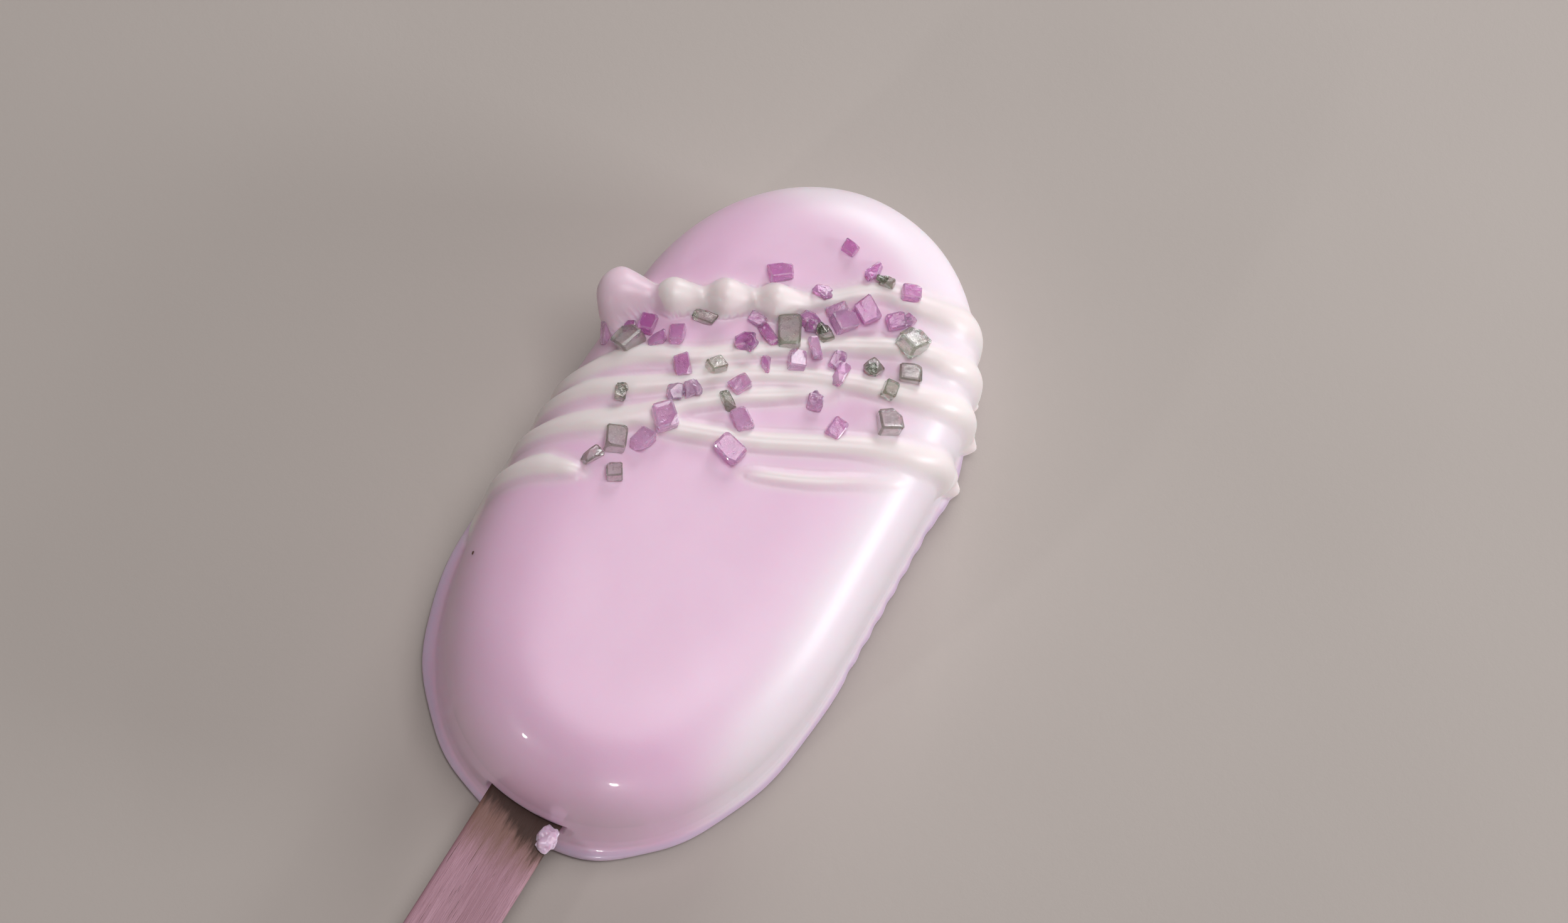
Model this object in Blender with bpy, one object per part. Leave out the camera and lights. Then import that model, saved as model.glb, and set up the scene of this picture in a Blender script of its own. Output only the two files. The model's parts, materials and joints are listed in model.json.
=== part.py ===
"""Cakesicle: a coated cake lozenge with a thick drizzle and coarse sugar, on a flat wooden stick.

The piece lies on its flat back, front up. +Z points up out of the front, +Y runs from the stick
to the rounded top, +X goes across to the right, and the origin is the centre of the flat back.
Sizes are in millimetres and become metres where the meshes are made.
"""

import math
import random

import bmesh
import bpy
from mathutils import Matrix, Vector
from mathutils.bvhtree import BVHTree

MM = 0.001

# Coated body
BODY_WIDTH = 48.5
BODY_LENGTH = 91.0
BODY_DEPTH = 24.0
TOP_END = 27.0          # length of the rounded top end
LOW_END = 37.0          # length of the fuller end round the stick
TOP_ROUNDNESS = 2.05    # 2 is an ellipse, more is squarer
LOW_ROUNDNESS = 2.16
TAPER = 0.055           # share of the width lost at the top and gained at the low end
WALL_HEIGHT = 10.0
WALL_DRAFT = 0.8
CROWN_SQUARE = 4.0      # how far the front stays flat before it falls to the walls
CROWN_ROOT = 2.2
FLAT_INSET = 18.0       # the front is flat further in than this

# Rim that the coating leaves round the flat back
RIM_OUT = 0.6
RIM_HEIGHT = 2.0
RIM_CHAMFER = 0.5
RIM_SWELL = 0.9         # extra width at the lower left
RIM_SWELL_AT = 212.0    # degrees round the outline
RIM_SWELL_SPREAD = 24.0

# Stick
STICK_LENGTH = 114.0
STICK_WIDTH = 10.0
STICK_THICK = 2.0
STICK_DEPTH_IN = 47.0   # length inside the cake
STICK_MIDDLE_Z = 6.0
STICK_EDGE_ROUND = 0.4
STICK_GAP = 0.3

# Resolution
ARC_STEPS = 30
SIDE_STEPS = 9
WALL_STEPS = 3
CROWN_STEPS = 9
STRAND_SIDES = 10
STRAND_STEP = 1.7
CURVE_STEPS = 24
WELD_DISTANCE = 0.0002

# Drizzle: each strand is laid over the coating through a few plan points (x, y, width). A point
# beyond the outline lies that much further down the side wall.
STRAND_HEIGHT = 1.2
STRAND_SINK = 1.0
STRAND_WIDTH_FOR_HEIGHT = 3.2
STRAND_TIP = 0.25       # share of the width left at a strand's rounded tip
FOOT_CLEARANCE = 2.2    # lowest middle of a strand above the surface it lies on
STRANDS = {
    "bead_row": ((-21, 16, 3.0), (-16.5, 17, 3.2), (-10.5, 19.8, 3.2), (-5, 22.8, 3.2), (0, 26.5, 3.0),
                 (3.5, 30, 3.2), (9, 32.2, 3.4), (14.5, 34.3, 4.2), (18, 36.5, 5.0), (22, 38.5, 4.6)),
    "first": ((-31, 2, 3.2), (-24.5, 4.5, 3.6), (-17, 8.5, 3.6), (-7.5, 13.5, 3.2), (2, 19.5, 3.0),
              (9, 24.8, 3.2), (14.5, 29, 3.8), (18.5, 32, 4.6), (22, 34, 4.6), (25, 34.7, 3.8)),
    "second": ((-31, -3, 3.4), (-24.5, -0.5, 3.8), (-19, 2.5, 3.6), (-10, 7.5, 3.2), (-3, 12.5, 3.0),
               (4, 16.5, 3.0), (10.5, 19.5, 3.4), (18, 23.7, 4.2), (21.5, 26, 4.4), (25, 28, 4.0),
               (29, 29, 3.6)),
    "third": ((-31, -8, 3.4), (-24.3, -5.5, 3.8), (-19, -3, 4.0), (-13, 0.5, 4.0), (-8.5, 4.5, 3.2),
              (-3.5, 8.8, 2.8), (3, 13.2, 2.6), (9.5, 18, 2.4)),
    "fourth": ((-12.5, 0.5, 3.0), (-8.5, 1.6, 3.0), (-3, 3.8, 3.0), (7, 8.2, 3.2), (14.5, 12.8, 3.8),
               (19, 15.6, 4.4), (23, 18.2, 4.6), (26.5, 20.8, 4.2), (31, 22, 3.8)),
    "lowest": ((-31, -16, 3.6), (-24.5, -13, 4.2), (-21.5, -10.5, 4.4), (-17, -8.3, 3.4),
               (-13.5, -6.5, 2.0)),
    "thin": ((1, 0.3, 1.8), (7, 3.5, 2.2), (14.5, 8.3, 2.2), (19.5, 11.5, 1.4)),
}

# Piped beads on the first strand: x, y, radius along the row, radius across, height
BEADS = ((-22, 15.5, 3.3, 3.3, 3.4), (-16.7, 16.6, 3.2, 2.6, 2.6), (-10.6, 19.4, 3.2, 2.5, 2.5),
         (-5.3, 22.4, 3.0, 2.3, 2.3), (-24.5, 13, 1.3, 1.2, 1.6))
BEAD_ROW_TURN = 28.0
BEAD_SEGMENTS = 16
BEAD_RINGS = 10

# Drips where strands end at the foot of the right side wall: x, y, radius
DRIPS = ((25, 34.7, 1.9), (28.7, 28.8, 1.8), (30.5, 22, 1.7))
DRIP_STANDS_OUT = 0.5

# Coarse sugar: length, width and height of each size of grain
GRAIN_SIZES = {
    "big": (4.2, 3.2, 2.3),
    "square": (3.2, 2.9, 2.0),
    "block": (2.8, 2.1, 1.7),
    "sliver": (3.1, 1.6, 1.4),
    "bit": (2.2, 1.7, 1.5),
}
# Grains laid by hand: x, y and the turn of the grain's length from +X in degrees
PURPLE_GRAINS = {
    "square": ((4, 27, -28), (2, 24, 55), (-9.5, 1, -44), (-1, 2, -13)),
    "block": ((-2, 33, -5), (-7.5, 25.5, 40), (7.5, 31.5, 26), (8.5, 28, 46), (-1, 21.5, -20), (0, 16, 118),
              (-6, 15, 20), (-17, 11, 105), (-11.5, 8.5, -47), (-13.5, 11.5, 115), (-9.5, 5.5, 26),
              (-4, 9.5, 66), (-1.5, 6, -34), (-10.5, -2.5, 81), (8.5, 11.5, 86), (4.5, 13, 110)),
    "sliver": ((2.5, 32, 68), (1, 25.5, 56), (1, 19, -45), (5.5, 17.5, 95), (-4.5, 17.5, -30),
               (-15.5, 10, 50), (-23, 8.5, 110)),
    "bit": ((-1.5, 25.5, -5), (4.5, 19.5, 90), (-6.5, 18.5, 0), (-3, 13.5, 120), (-20.5, 11.5, 120)),
}
GREEN_GRAINS = {
    "big": ((-2.5, 19, 118), (11, 26, 67)),
    "square": ((-18.5, 8.5, 73), (13.5, 16, 36), (-13, -4, 116)),
    "block": ((12.5, 23, 26), (1.5, 21.5, -30), (8.5, 21, 71)),
    "sliver": ((-12, 15.5, 10), (-4.5, 7, -29), (-14.5, -7.5, 66)),
    "bit": ((4, 31.5, 10), (11.5, 19, 100), (-8, 10.5, 56), (-15.5, 1.5, 110), (-11, -8, 121)),
}
GRAIN_SEED = 11
GRAIN_JITTER = 0.09     # share of its size by which a corner is off
GRAIN_TILT = 14.0
GRAIN_SINK = 0.14
GRAIN_CORNER_CUT = 0.3
GRAIN_CUTS = 3
BOX_CORNERS = tuple((x, y, z) for x in (-1, 1) for y in (-1, 1) for z in (-1, 1))

# Smear of coating over the stick's right edge where it leaves the cake: middle and radii
SMEAR_MIDDLE = (3.95, -46.3, 7.8)
SMEAR_RADII = (1.25, 2.6, 1.0)

COATING_PINK = (0.78, 0.53, 0.70, 1.0)
STICK_BIRCH = (0.50, 0.36, 0.31, 1.0)


def clear_scene():
    """Remove every object that the new file starts with."""
    for item in list(bpy.data.objects):
        bpy.data.objects.remove(item, do_unlink=True)


def make_material(name, colour, roughness):
    """Return a non-metallic material of one colour."""
    material = bpy.data.materials.new(name)
    material.use_nodes = True
    shader = material.node_tree.nodes["Principled BSDF"]
    shader.inputs["Base Color"].default_value = colour
    shader.inputs["Roughness"].default_value = roughness
    shader.inputs["Metallic"].default_value = 0.0
    return material


def add_object(name, mesh, collection=None):
    """Return a new object of the mesh, linked to the scene or to the collection."""
    item = bpy.data.objects.new(name, mesh)
    target = collection or bpy.context.scene.collection
    target.objects.link(item)
    return item


def width_share(y):
    """Return how wide the body is at y, as a share of its middle width."""
    return 1.0 - TAPER * y / (BODY_LENGTH / 2)


def arc_points(inset_at_angle, start, end, middle_y, reach, roundness):
    """Return one rounded end of an outline, from the start angle to the end angle in degrees."""
    points = []
    for step in range(ARC_STEPS + 1):
        degrees = start + (end - start) * step / ARC_STEPS
        inset = inset_at_angle(degrees)
        angle = math.radians(degrees)
        across = math.copysign(abs(math.cos(angle)) ** (2 / roundness), math.cos(angle))
        along = math.copysign(abs(math.sin(angle)) ** (2 / roundness), math.sin(angle))
        y = middle_y + (reach - inset) * along
        points.append((across * (BODY_WIDTH / 2 - inset) * width_share(y), y))
    return points


def side_points(x_side, inset, start_y, end_y):
    """Return the inner points of one straight side of an outline."""
    points = []
    for step in range(1, SIDE_STEPS):
        y = start_y + (end_y - start_y) * step / SIDE_STEPS
        points.append((x_side * (BODY_WIDTH / 2 - inset) * width_share(y), y))
    return points


def outline(inset, swell=0.0):
    """Return the body's outline moved in by the inset, anticlockwise from the right."""
    top_y = BODY_LENGTH / 2 - TOP_END
    low_y = LOW_END - BODY_LENGTH / 2

    def inset_at_angle(degrees):
        return inset - swell * math.exp(-((degrees - RIM_SWELL_AT) / RIM_SWELL_SPREAD) ** 2)

    points = arc_points(inset_at_angle, 0.0, 180.0, top_y, TOP_END, TOP_ROUNDNESS)
    points += side_points(-1, inset_at_angle(180.0), top_y, low_y)
    points += arc_points(inset_at_angle, 180.0, 360.0, low_y, LOW_END, LOW_ROUNDNESS)
    points += side_points(1, inset_at_angle(360.0), low_y, top_y)
    return points


def crown_height(inset):
    """Return the height of the rounded front at this distance in from the outline."""
    run = (inset - WALL_DRAFT) / (BODY_WIDTH / 2 - WALL_DRAFT)
    run = min(max(run, 0.0), 1.0)
    rise = (1.0 - (1.0 - run) ** CROWN_SQUARE) ** (1.0 / CROWN_ROOT)
    return WALL_HEIGHT + (BODY_DEPTH - WALL_HEIGHT) * rise


def body_levels():
    """Return the body's rings from the back to the front as (inset, height, rim swell)."""
    levels = [
        (RIM_CHAMFER - RIM_OUT, 0.0, RIM_SWELL),
        (-RIM_OUT, RIM_CHAMFER, RIM_SWELL),
        (-RIM_OUT, RIM_HEIGHT - RIM_CHAMFER, RIM_SWELL),
        (0.0, RIM_HEIGHT + RIM_CHAMFER, 0.0),
    ]
    wall_foot = RIM_HEIGHT + RIM_CHAMFER
    for step in range(1, WALL_STEPS + 1):
        share = step / WALL_STEPS
        levels.append((WALL_DRAFT * share, wall_foot + (WALL_HEIGHT - wall_foot) * share, 0.0))
    for step in range(1, CROWN_STEPS + 1):
        inset = WALL_DRAFT + (FLAT_INSET - WALL_DRAFT) * (step / CROWN_STEPS) ** 2.1
        levels.append((inset, crown_height(inset), 0.0))
    return levels


def loft(name, rings):
    """Return a closed mesh through rings of points, capped flat at both ends."""
    bm = bmesh.new()
    rows = [[bm.verts.new([value * MM for value in point]) for point in ring] for ring in rings]
    count = len(rows[0])
    for lower, upper in zip(rows, rows[1:]):
        for index in range(count):
            after = (index + 1) % count
            bm.faces.new((lower[index], lower[after], upper[after], upper[index]))
    bm.faces.new(list(reversed(rows[0])))
    bm.faces.new(rows[-1])
    bmesh.ops.recalc_face_normals(bm, faces=bm.faces)
    mesh = bpy.data.meshes.new(name)
    bm.to_mesh(mesh)
    bm.free()
    return mesh


def make_body():
    """Return the plain coated body, a loft of outlines from the flat back to the front."""
    rings = []
    for inset, height, swell in body_levels():
        rings.append([(x, y, height) for x, y in outline(inset, swell)])
    return add_object("coated_cake", loft("coated_cake", rings))


def outside_measure(x, y, inset):
    """Return more than 1 where the point is outside the outline of this inset."""
    top_y = BODY_LENGTH / 2 - TOP_END
    low_y = LOW_END - BODY_LENGTH / 2
    half_width = (BODY_WIDTH / 2 - inset) * width_share(y)
    if y > top_y:
        past = (y - top_y) / (TOP_END - inset)
        return (abs(x) / half_width) ** TOP_ROUNDNESS + past ** TOP_ROUNDNESS
    if y < low_y:
        past = (low_y - y) / (LOW_END - inset)
        return (abs(x) / half_width) ** LOW_ROUNDNESS + past ** LOW_ROUNDNESS
    return abs(x) / half_width


def inset_at(x, y):
    """Return how far inside the outline a plan point lies, less than zero outside it."""
    low = -20.0
    high = BODY_WIDTH / 2 - 0.001
    if outside_measure(x, y, high) < 1.0:
        return high
    for _ in range(40):
        middle = (low + high) / 2
        if outside_measure(x, y, middle) > 1.0:
            high = middle
        else:
            low = middle
    return low


def lay(x, y):
    """Return the point on the coating at a plan point, carried on down the wall past its edge."""
    inset = inset_at(x, y)
    if inset >= WALL_DRAFT:
        return Vector((x, y, crown_height(inset)))
    step = 0.05
    inward = Vector((inset_at(x + step, y) - inset_at(x - step, y),
                     inset_at(x, y + step) - inset_at(x, y - step), 0.0)).normalized()
    height = WALL_HEIGHT - (WALL_DRAFT - inset)
    wall_inset = WALL_DRAFT * height / WALL_HEIGHT
    return Vector((x, y, height)) + inward * (wall_inset - inset)


def lay_normal(x, y):
    """Return the coating's outward direction at a plan point."""
    step = 0.1
    along_x = lay(x + step, y) - lay(x - step, y)
    along_y = lay(x, y + step) - lay(x, y - step)
    return along_x.cross(along_y).normalized()


def smooth_curve(points):
    """Return many points on a smooth curve through the given ones."""
    knots = [Vector(point) for point in points]
    knots = [2 * knots[0] - knots[1]] + knots + [2 * knots[-1] - knots[-2]]
    curve = []
    for first, start, end, last in zip(knots, knots[1:], knots[2:], knots[3:]):
        for step in range(CURVE_STEPS):
            t = step / CURVE_STEPS
            curve.append(0.5 * (2 * start + (end - first) * t
                                + (2 * first - 5 * start + 4 * end - last) * t * t
                                + (3 * start - first - 3 * end + last) * t ** 3))
    curve.append(knots[-2])
    return curve


def even_samples(curve):
    """Return (place, outward direction, width, distance, full length) at even steps of a strand."""
    lowest_inset = WALL_DRAFT - (WALL_HEIGHT - FOOT_CLEARANCE)
    curve = [point for point in curve if inset_at(point.x, point.y) > lowest_inset]
    laid = [lay(point.x, point.y) for point in curve]
    lengths = [0.0]
    for before, after in zip(laid, laid[1:]):
        lengths.append(lengths[-1] + (after - before).length)
    count = max(int(lengths[-1] / STRAND_STEP), 4)
    samples = []
    index = 0
    for step in range(count + 1):
        wanted = lengths[-1] * step / count
        while index < len(lengths) - 2 and lengths[index + 1] < wanted:
            index += 1
        span = lengths[index + 1] - lengths[index]
        share = (wanted - lengths[index]) / span if span > 0 else 0.0
        plan = curve[index].lerp(curve[index + 1], share)
        samples.append((lay(plan.x, plan.y), lay_normal(plan.x, plan.y), plan.z, wanted, lengths[-1]))
    return samples


def tip_share(distance, length, width):
    """Return how much of a strand's width is left at this distance along it."""
    to_end = min(distance, length - distance)
    reach = width * 0.6
    if to_end >= reach:
        return 1.0
    rounded = math.sqrt(1.0 - (1.0 - to_end / reach) ** 2)
    return STRAND_TIP + (1.0 - STRAND_TIP) * rounded


def make_strand(name, points, collection):
    """Return one strand of the drizzle, a half-sunk band with a rounded top along its route."""
    samples = even_samples(smooth_curve(points))
    rings = []
    for index, (place, outward, width, distance, length) in enumerate(samples):
        before = samples[max(index - 1, 0)][0]
        after = samples[min(index + 1, len(samples) - 1)][0]
        forward = (after - before).normalized()
        across = forward.cross(outward).normalized()
        share = tip_share(distance, length, width)
        height = STRAND_HEIGHT * share * width / STRAND_WIDTH_FOR_HEIGHT
        middle = place - outward * (1.0 - share) * STRAND_HEIGHT / 2
        ring = []
        for side in range(STRAND_SIDES):
            angle = math.tau * (side + 0.5) / STRAND_SIDES
            lift = math.sin(angle) * (height if math.sin(angle) > 0 else STRAND_SINK * share)
            ring.append(middle + across * math.cos(angle) * share * width / 2 + outward * lift)
        rings.append(ring)
    return add_object(name, loft(name, rings), collection)


def make_ball(name, place, outward, radii, turn, collection):
    """Return an egg-shaped blob with its third radius along the outward direction."""
    bm = bmesh.new()
    bmesh.ops.create_uvsphere(bm, u_segments=BEAD_SEGMENTS, v_segments=BEAD_RINGS, radius=1.0)
    mesh = bpy.data.meshes.new(name)
    bm.to_mesh(mesh)
    bm.free()
    facing = Vector((0, 0, 1)).rotation_difference(outward).to_matrix().to_4x4()
    spin = Matrix.Rotation(math.radians(turn), 4, "Z")
    stretch = Matrix.Diagonal((radii[0] * MM, radii[1] * MM, radii[2] * MM, 1.0))
    mesh.transform(Matrix.Translation(place * MM) @ facing @ spin @ stretch)
    return add_object(name, mesh, collection)


def make_beads(collection):
    """Make the piped beads that sit on the first strand and over the left edge."""
    for number, (x, y, along, across, height) in enumerate(BEADS, 1):
        outward = lay_normal(x, y)
        place = lay(x, y) + outward * height * 0.3
        make_ball(f"bead_{number}", place, outward, (along, across, height), BEAD_ROW_TURN, collection)


def make_drips(collection):
    """Make the drips in which strands end at the foot of the right wall."""
    for number, (x, y, radius) in enumerate(DRIPS, 1):
        outward = lay_normal(x, y)
        place = lay(x, y) + outward * DRIP_STANDS_OUT
        make_ball(f"drip_{number}", place, outward, (radius, radius, radius), 0.0, collection)


def make_smear(collection):
    """Make the smear of coating that runs a little way down the stick."""
    make_ball("smear", Vector(SMEAR_MIDDLE), Vector((0, 0, 1)), SMEAR_RADII, 0.0, collection)


def surface_tree(items):
    """Return a search tree over the faces of several objects."""
    vertices = []
    faces = []
    for item in items:
        start = len(vertices)
        vertices += [item.matrix_world @ vertex.co for vertex in item.data.vertices]
        faces += [[start + index for index in face.vertices] for face in item.data.polygons]
    return BVHTree.FromPolygons(vertices, faces)


def grain_mesh(name, size, chance):
    """Return a sugar grain: a block with uneven corners, some of them broken off."""
    cut_corners = set(chance.sample(range(8), GRAIN_CUTS))
    points = []
    for number, corner in enumerate(BOX_CORNERS):
        place = Vector([sign * extent / 2 * (1 + chance.uniform(-1, 1) * GRAIN_JITTER)
                        for sign, extent in zip(corner, size)])
        if number not in cut_corners:
            points.append(place)
            continue
        for axis in range(3):
            broken = place.copy()
            broken[axis] -= corner[axis] * size[axis] * GRAIN_CORNER_CUT * chance.uniform(0.6, 1.2)
            points.append(broken)
    bm = bmesh.new()
    for point in points:
        bm.verts.new(point * MM)
    hull = bmesh.ops.convex_hull(bm, input=bm.verts)
    loose = [vertex for vertex in hull["geom_interior"] if isinstance(vertex, bmesh.types.BMVert)]
    bmesh.ops.delete(bm, geom=loose, context="VERTS")
    bmesh.ops.recalc_face_normals(bm, faces=bm.faces)
    mesh = bpy.data.meshes.new(name)
    bm.to_mesh(mesh)
    bm.free()
    return mesh


def make_grains(prefix, grains, ground, chance, collection):
    """Seat one kind of sugar grain on the coating and drizzle."""
    number = 0
    for size_name, places in grains.items():
        size = GRAIN_SIZES[size_name]
        for x, y, turn in places:
            number += 1
            outward = lay_normal(x, y)
            start = (lay(x, y) + outward * BODY_DEPTH) * MM
            hit = ground.ray_cast(start, -outward)[0]
            tilt = Vector((chance.uniform(-1, 1), chance.uniform(-1, 1), 0)) * math.radians(GRAIN_TILT)
            place = hit + outward * size[2] * (0.5 - GRAIN_SINK) * MM
            mesh = grain_mesh(f"{prefix}_{number}", size, chance)
            facing = Vector((0, 0, 1)).rotation_difference(outward).to_matrix().to_4x4()
            lean = Matrix.Rotation(tilt.x, 4, "X") @ Matrix.Rotation(tilt.y, 4, "Y")
            spin = Matrix.Rotation(math.radians(turn), 4, "Z")
            mesh.transform(Matrix.Translation(place) @ facing @ lean @ spin)
            add_object(mesh.name, mesh, collection)


def bake(item):
    """Give the object the mesh that its modifiers make, and drop the modifiers."""
    graph = bpy.context.evaluated_depsgraph_get()
    mesh = bpy.data.meshes.new_from_object(item.evaluated_get(graph))
    item.modifiers.clear()
    item.data = mesh


def islands(bm):
    """Return the separate shells of a mesh as lists of faces."""
    waiting = set(bm.faces)
    shells = []
    while waiting:
        stack = [waiting.pop()]
        shell = []
        while stack:
            face = stack.pop()
            shell.append(face)
            for edge in face.edges:
                for other in edge.link_faces:
                    if other in waiting:
                        waiting.remove(other)
                        stack.append(other)
        shells.append(shell)
    return shells


def keep_main_shell(item):
    """Drop loose scraps and fill sealed hollows, so that one closed shell is left."""
    bm = bmesh.new()
    bm.from_mesh(item.data)
    bmesh.ops.remove_doubles(bm, verts=bm.verts, dist=WELD_DISTANCE * MM)
    bmesh.ops.dissolve_degenerate(bm, edges=bm.edges, dist=WELD_DISTANCE * MM)
    shells = sorted(islands(bm), key=len)
    for shell in shells[:-1]:
        bmesh.ops.delete(bm, geom=shell, context="FACES")
    bmesh.ops.triangulate(bm, faces=bm.faces)
    bm.to_mesh(item.data)
    bm.free()


def fuse(body, toppings):
    """Join all that lies on the coating to it as one solid."""
    union = body.modifiers.new("toppings", "BOOLEAN")
    union.operation = "UNION"
    union.operand_type = "COLLECTION"
    union.collection = toppings
    union.solver = "EXACT"
    bake(body)
    for item in list(toppings.objects):
        bpy.data.objects.remove(item, do_unlink=True)
    bpy.data.collections.remove(toppings)


def cut_stick_slot(body):
    """Cut the blind slot that holds the stick, a little larger than the stick all round."""
    width = STICK_WIDTH + 2 * STICK_GAP
    height = STICK_THICK + 2 * STICK_GAP
    depth = STICK_DEPTH_IN + STICK_GAP
    beyond = 5.0
    bm = bmesh.new()
    bmesh.ops.create_cube(bm, size=1.0)
    mesh = bpy.data.meshes.new("slot_cutter")
    bm.to_mesh(mesh)
    bm.free()
    middle = (0.0, -BODY_LENGTH / 2 + (depth - beyond) / 2, STICK_MIDDLE_Z)
    size = (width, depth + beyond, height)
    stretch = Matrix.Diagonal([value * MM for value in size] + [1])
    mesh.transform(Matrix.Translation(Vector(middle) * MM) @ stretch)
    cutter = add_object("slot_cutter", mesh)
    cut = body.modifiers.new("stick slot", "BOOLEAN")
    cut.operation = "DIFFERENCE"
    cut.object = cutter
    cut.solver = "EXACT"
    bake(body)
    bpy.data.objects.remove(cutter, do_unlink=True)


def make_coated_cake():
    """Make the body with its drizzle, beads and sugar as one solid with a slot for the stick."""
    body = make_body()
    toppings = bpy.data.collections.new("toppings")
    bpy.context.scene.collection.children.link(toppings)
    for name, points in STRANDS.items():
        make_strand(name, points, toppings)
    make_beads(toppings)
    make_drips(toppings)
    make_smear(toppings)
    ground = surface_tree([body] + list(toppings.objects))
    chance = random.Random(GRAIN_SEED)
    make_grains("purple", PURPLE_GRAINS, ground, chance, toppings)
    make_grains("green", GREEN_GRAINS, ground, chance, toppings)
    fuse(body, toppings)
    cut_stick_slot(body)
    keep_main_shell(body)
    body.data.shade_smooth()
    body.data.set_sharp_from_angle(angle=math.radians(35))
    body.data.materials.append(make_material("pink_coating", COATING_PINK, 0.35))
    return body


def stick_outline():
    """Return the stick's flat outline with its half-round ends, anticlockwise."""
    end_steps = 16
    radius = STICK_WIDTH / 2
    reach = STICK_LENGTH / 2 - radius
    points = []
    for middle_y, start in ((reach, 0.0), (-reach, math.pi)):
        for step in range(end_steps + 1):
            angle = start + math.pi * step / end_steps
            points.append((radius * math.cos(angle), middle_y + radius * math.sin(angle)))
    return points


def make_stick():
    """Make the flat stick with eased edges, partly inside the cake."""
    inner = (STICK_WIDTH / 2 - STICK_EDGE_ROUND) / (STICK_WIDTH / 2)
    half = STICK_THICK / 2
    eased = half - STICK_EDGE_ROUND
    rings = []
    for height, share in ((-half, inner), (-eased, 1.0), (eased, 1.0), (half, inner)):
        ring = []
        for x, y in stick_outline():
            middle_y = math.copysign(STICK_LENGTH / 2 - STICK_WIDTH / 2, y)
            ring.append((x * share, middle_y + (y - middle_y) * share, height))
        rings.append(ring)
    stick = add_object("stick", loft("stick", rings))
    top_y = -BODY_LENGTH / 2 + STICK_DEPTH_IN
    stick.location = (0.0, (top_y - STICK_LENGTH / 2) * MM, STICK_MIDDLE_Z * MM)
    stick.data.shade_smooth()
    stick.data.set_sharp_from_angle(angle=math.radians(30))
    stick.data.materials.append(make_material("birch", STICK_BIRCH, 0.7))
    return stick


def main():
    clear_scene()
    make_coated_cake()
    make_stick()


main()
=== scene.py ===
"""Cakesicle on its wooden stick: the dressed model on a plain studio floor.

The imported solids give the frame. The coating is rebuilt as one dense skin that is drawn down on to the
body, the drizzle and the piped beads, so that they run into each other as set icing does. The coarse
sugar is laid on that skin grain by grain. Sizes in the classes are in millimetres and become metres
where a mesh is made.
"""

import json
import logging
import math
import random
from dataclasses import dataclass, field
from enum import Enum

import bmesh
import bpy
import numpy as np
from mathutils import Matrix, Vector, noise
from mathutils.bvhtree import BVHTree
from mathutils.geometry import delaunay_2d_cdt

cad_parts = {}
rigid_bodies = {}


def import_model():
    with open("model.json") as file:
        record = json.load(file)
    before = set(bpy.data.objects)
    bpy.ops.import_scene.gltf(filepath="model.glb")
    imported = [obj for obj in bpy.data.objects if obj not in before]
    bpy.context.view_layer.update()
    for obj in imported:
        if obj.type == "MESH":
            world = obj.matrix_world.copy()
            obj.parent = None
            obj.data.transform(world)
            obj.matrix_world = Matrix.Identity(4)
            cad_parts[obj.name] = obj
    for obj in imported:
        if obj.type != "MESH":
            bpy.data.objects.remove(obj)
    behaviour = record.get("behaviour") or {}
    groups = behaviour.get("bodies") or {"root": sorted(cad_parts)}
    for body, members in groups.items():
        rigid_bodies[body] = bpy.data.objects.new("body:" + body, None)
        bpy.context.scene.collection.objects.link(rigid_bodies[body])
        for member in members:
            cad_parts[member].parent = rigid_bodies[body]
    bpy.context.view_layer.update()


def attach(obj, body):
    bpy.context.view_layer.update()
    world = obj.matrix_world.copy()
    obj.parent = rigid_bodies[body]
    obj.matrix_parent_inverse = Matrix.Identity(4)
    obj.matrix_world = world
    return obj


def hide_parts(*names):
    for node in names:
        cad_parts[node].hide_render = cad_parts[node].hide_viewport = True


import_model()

MM = 0.001
TINY = 1e-12
BODY = "root"

Item = bpy.types.Object
Material = bpy.types.Material
Mesh = bpy.types.Mesh
Node = bpy.types.Node
NodeTree = bpy.types.NodeTree
Socket = bpy.types.NodeSocket
Colour = tuple[float, float, float, float]
Triple = tuple[float, float, float]
Range = tuple[float, float]


class Slot(Enum):
    """Material slots of the record."""

    COATING = "coating"
    STICK = "stick_wood"


class CadNode(Enum):
    """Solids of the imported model."""

    CAKE = "coated_cake"
    STICK = "stick"


class Crystal(Enum):
    """Habits of the coarse sugar."""

    BLOCK = 0
    PLATE = 1
    SLIVER = 2
    LUMP = 3


def paint(red: int, green: int, blue: int) -> Colour:
    """Turn a colour as the eye reads it into the linear colour that a shader takes.

    Args:
        red: Red, from 0 to 255.
        green: Green, from 0 to 255.
        blue: Blue, from 0 to 255.

    Returns:
        The linear colour with full alpha.
    """
    shares = [value / 255 for value in (red, green, blue)]
    linear = [share / 12.92 if share <= 0.04045 else ((share + 0.055) / 1.055) ** 2.4 for share in shares]
    return (*linear, 1.0)


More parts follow.
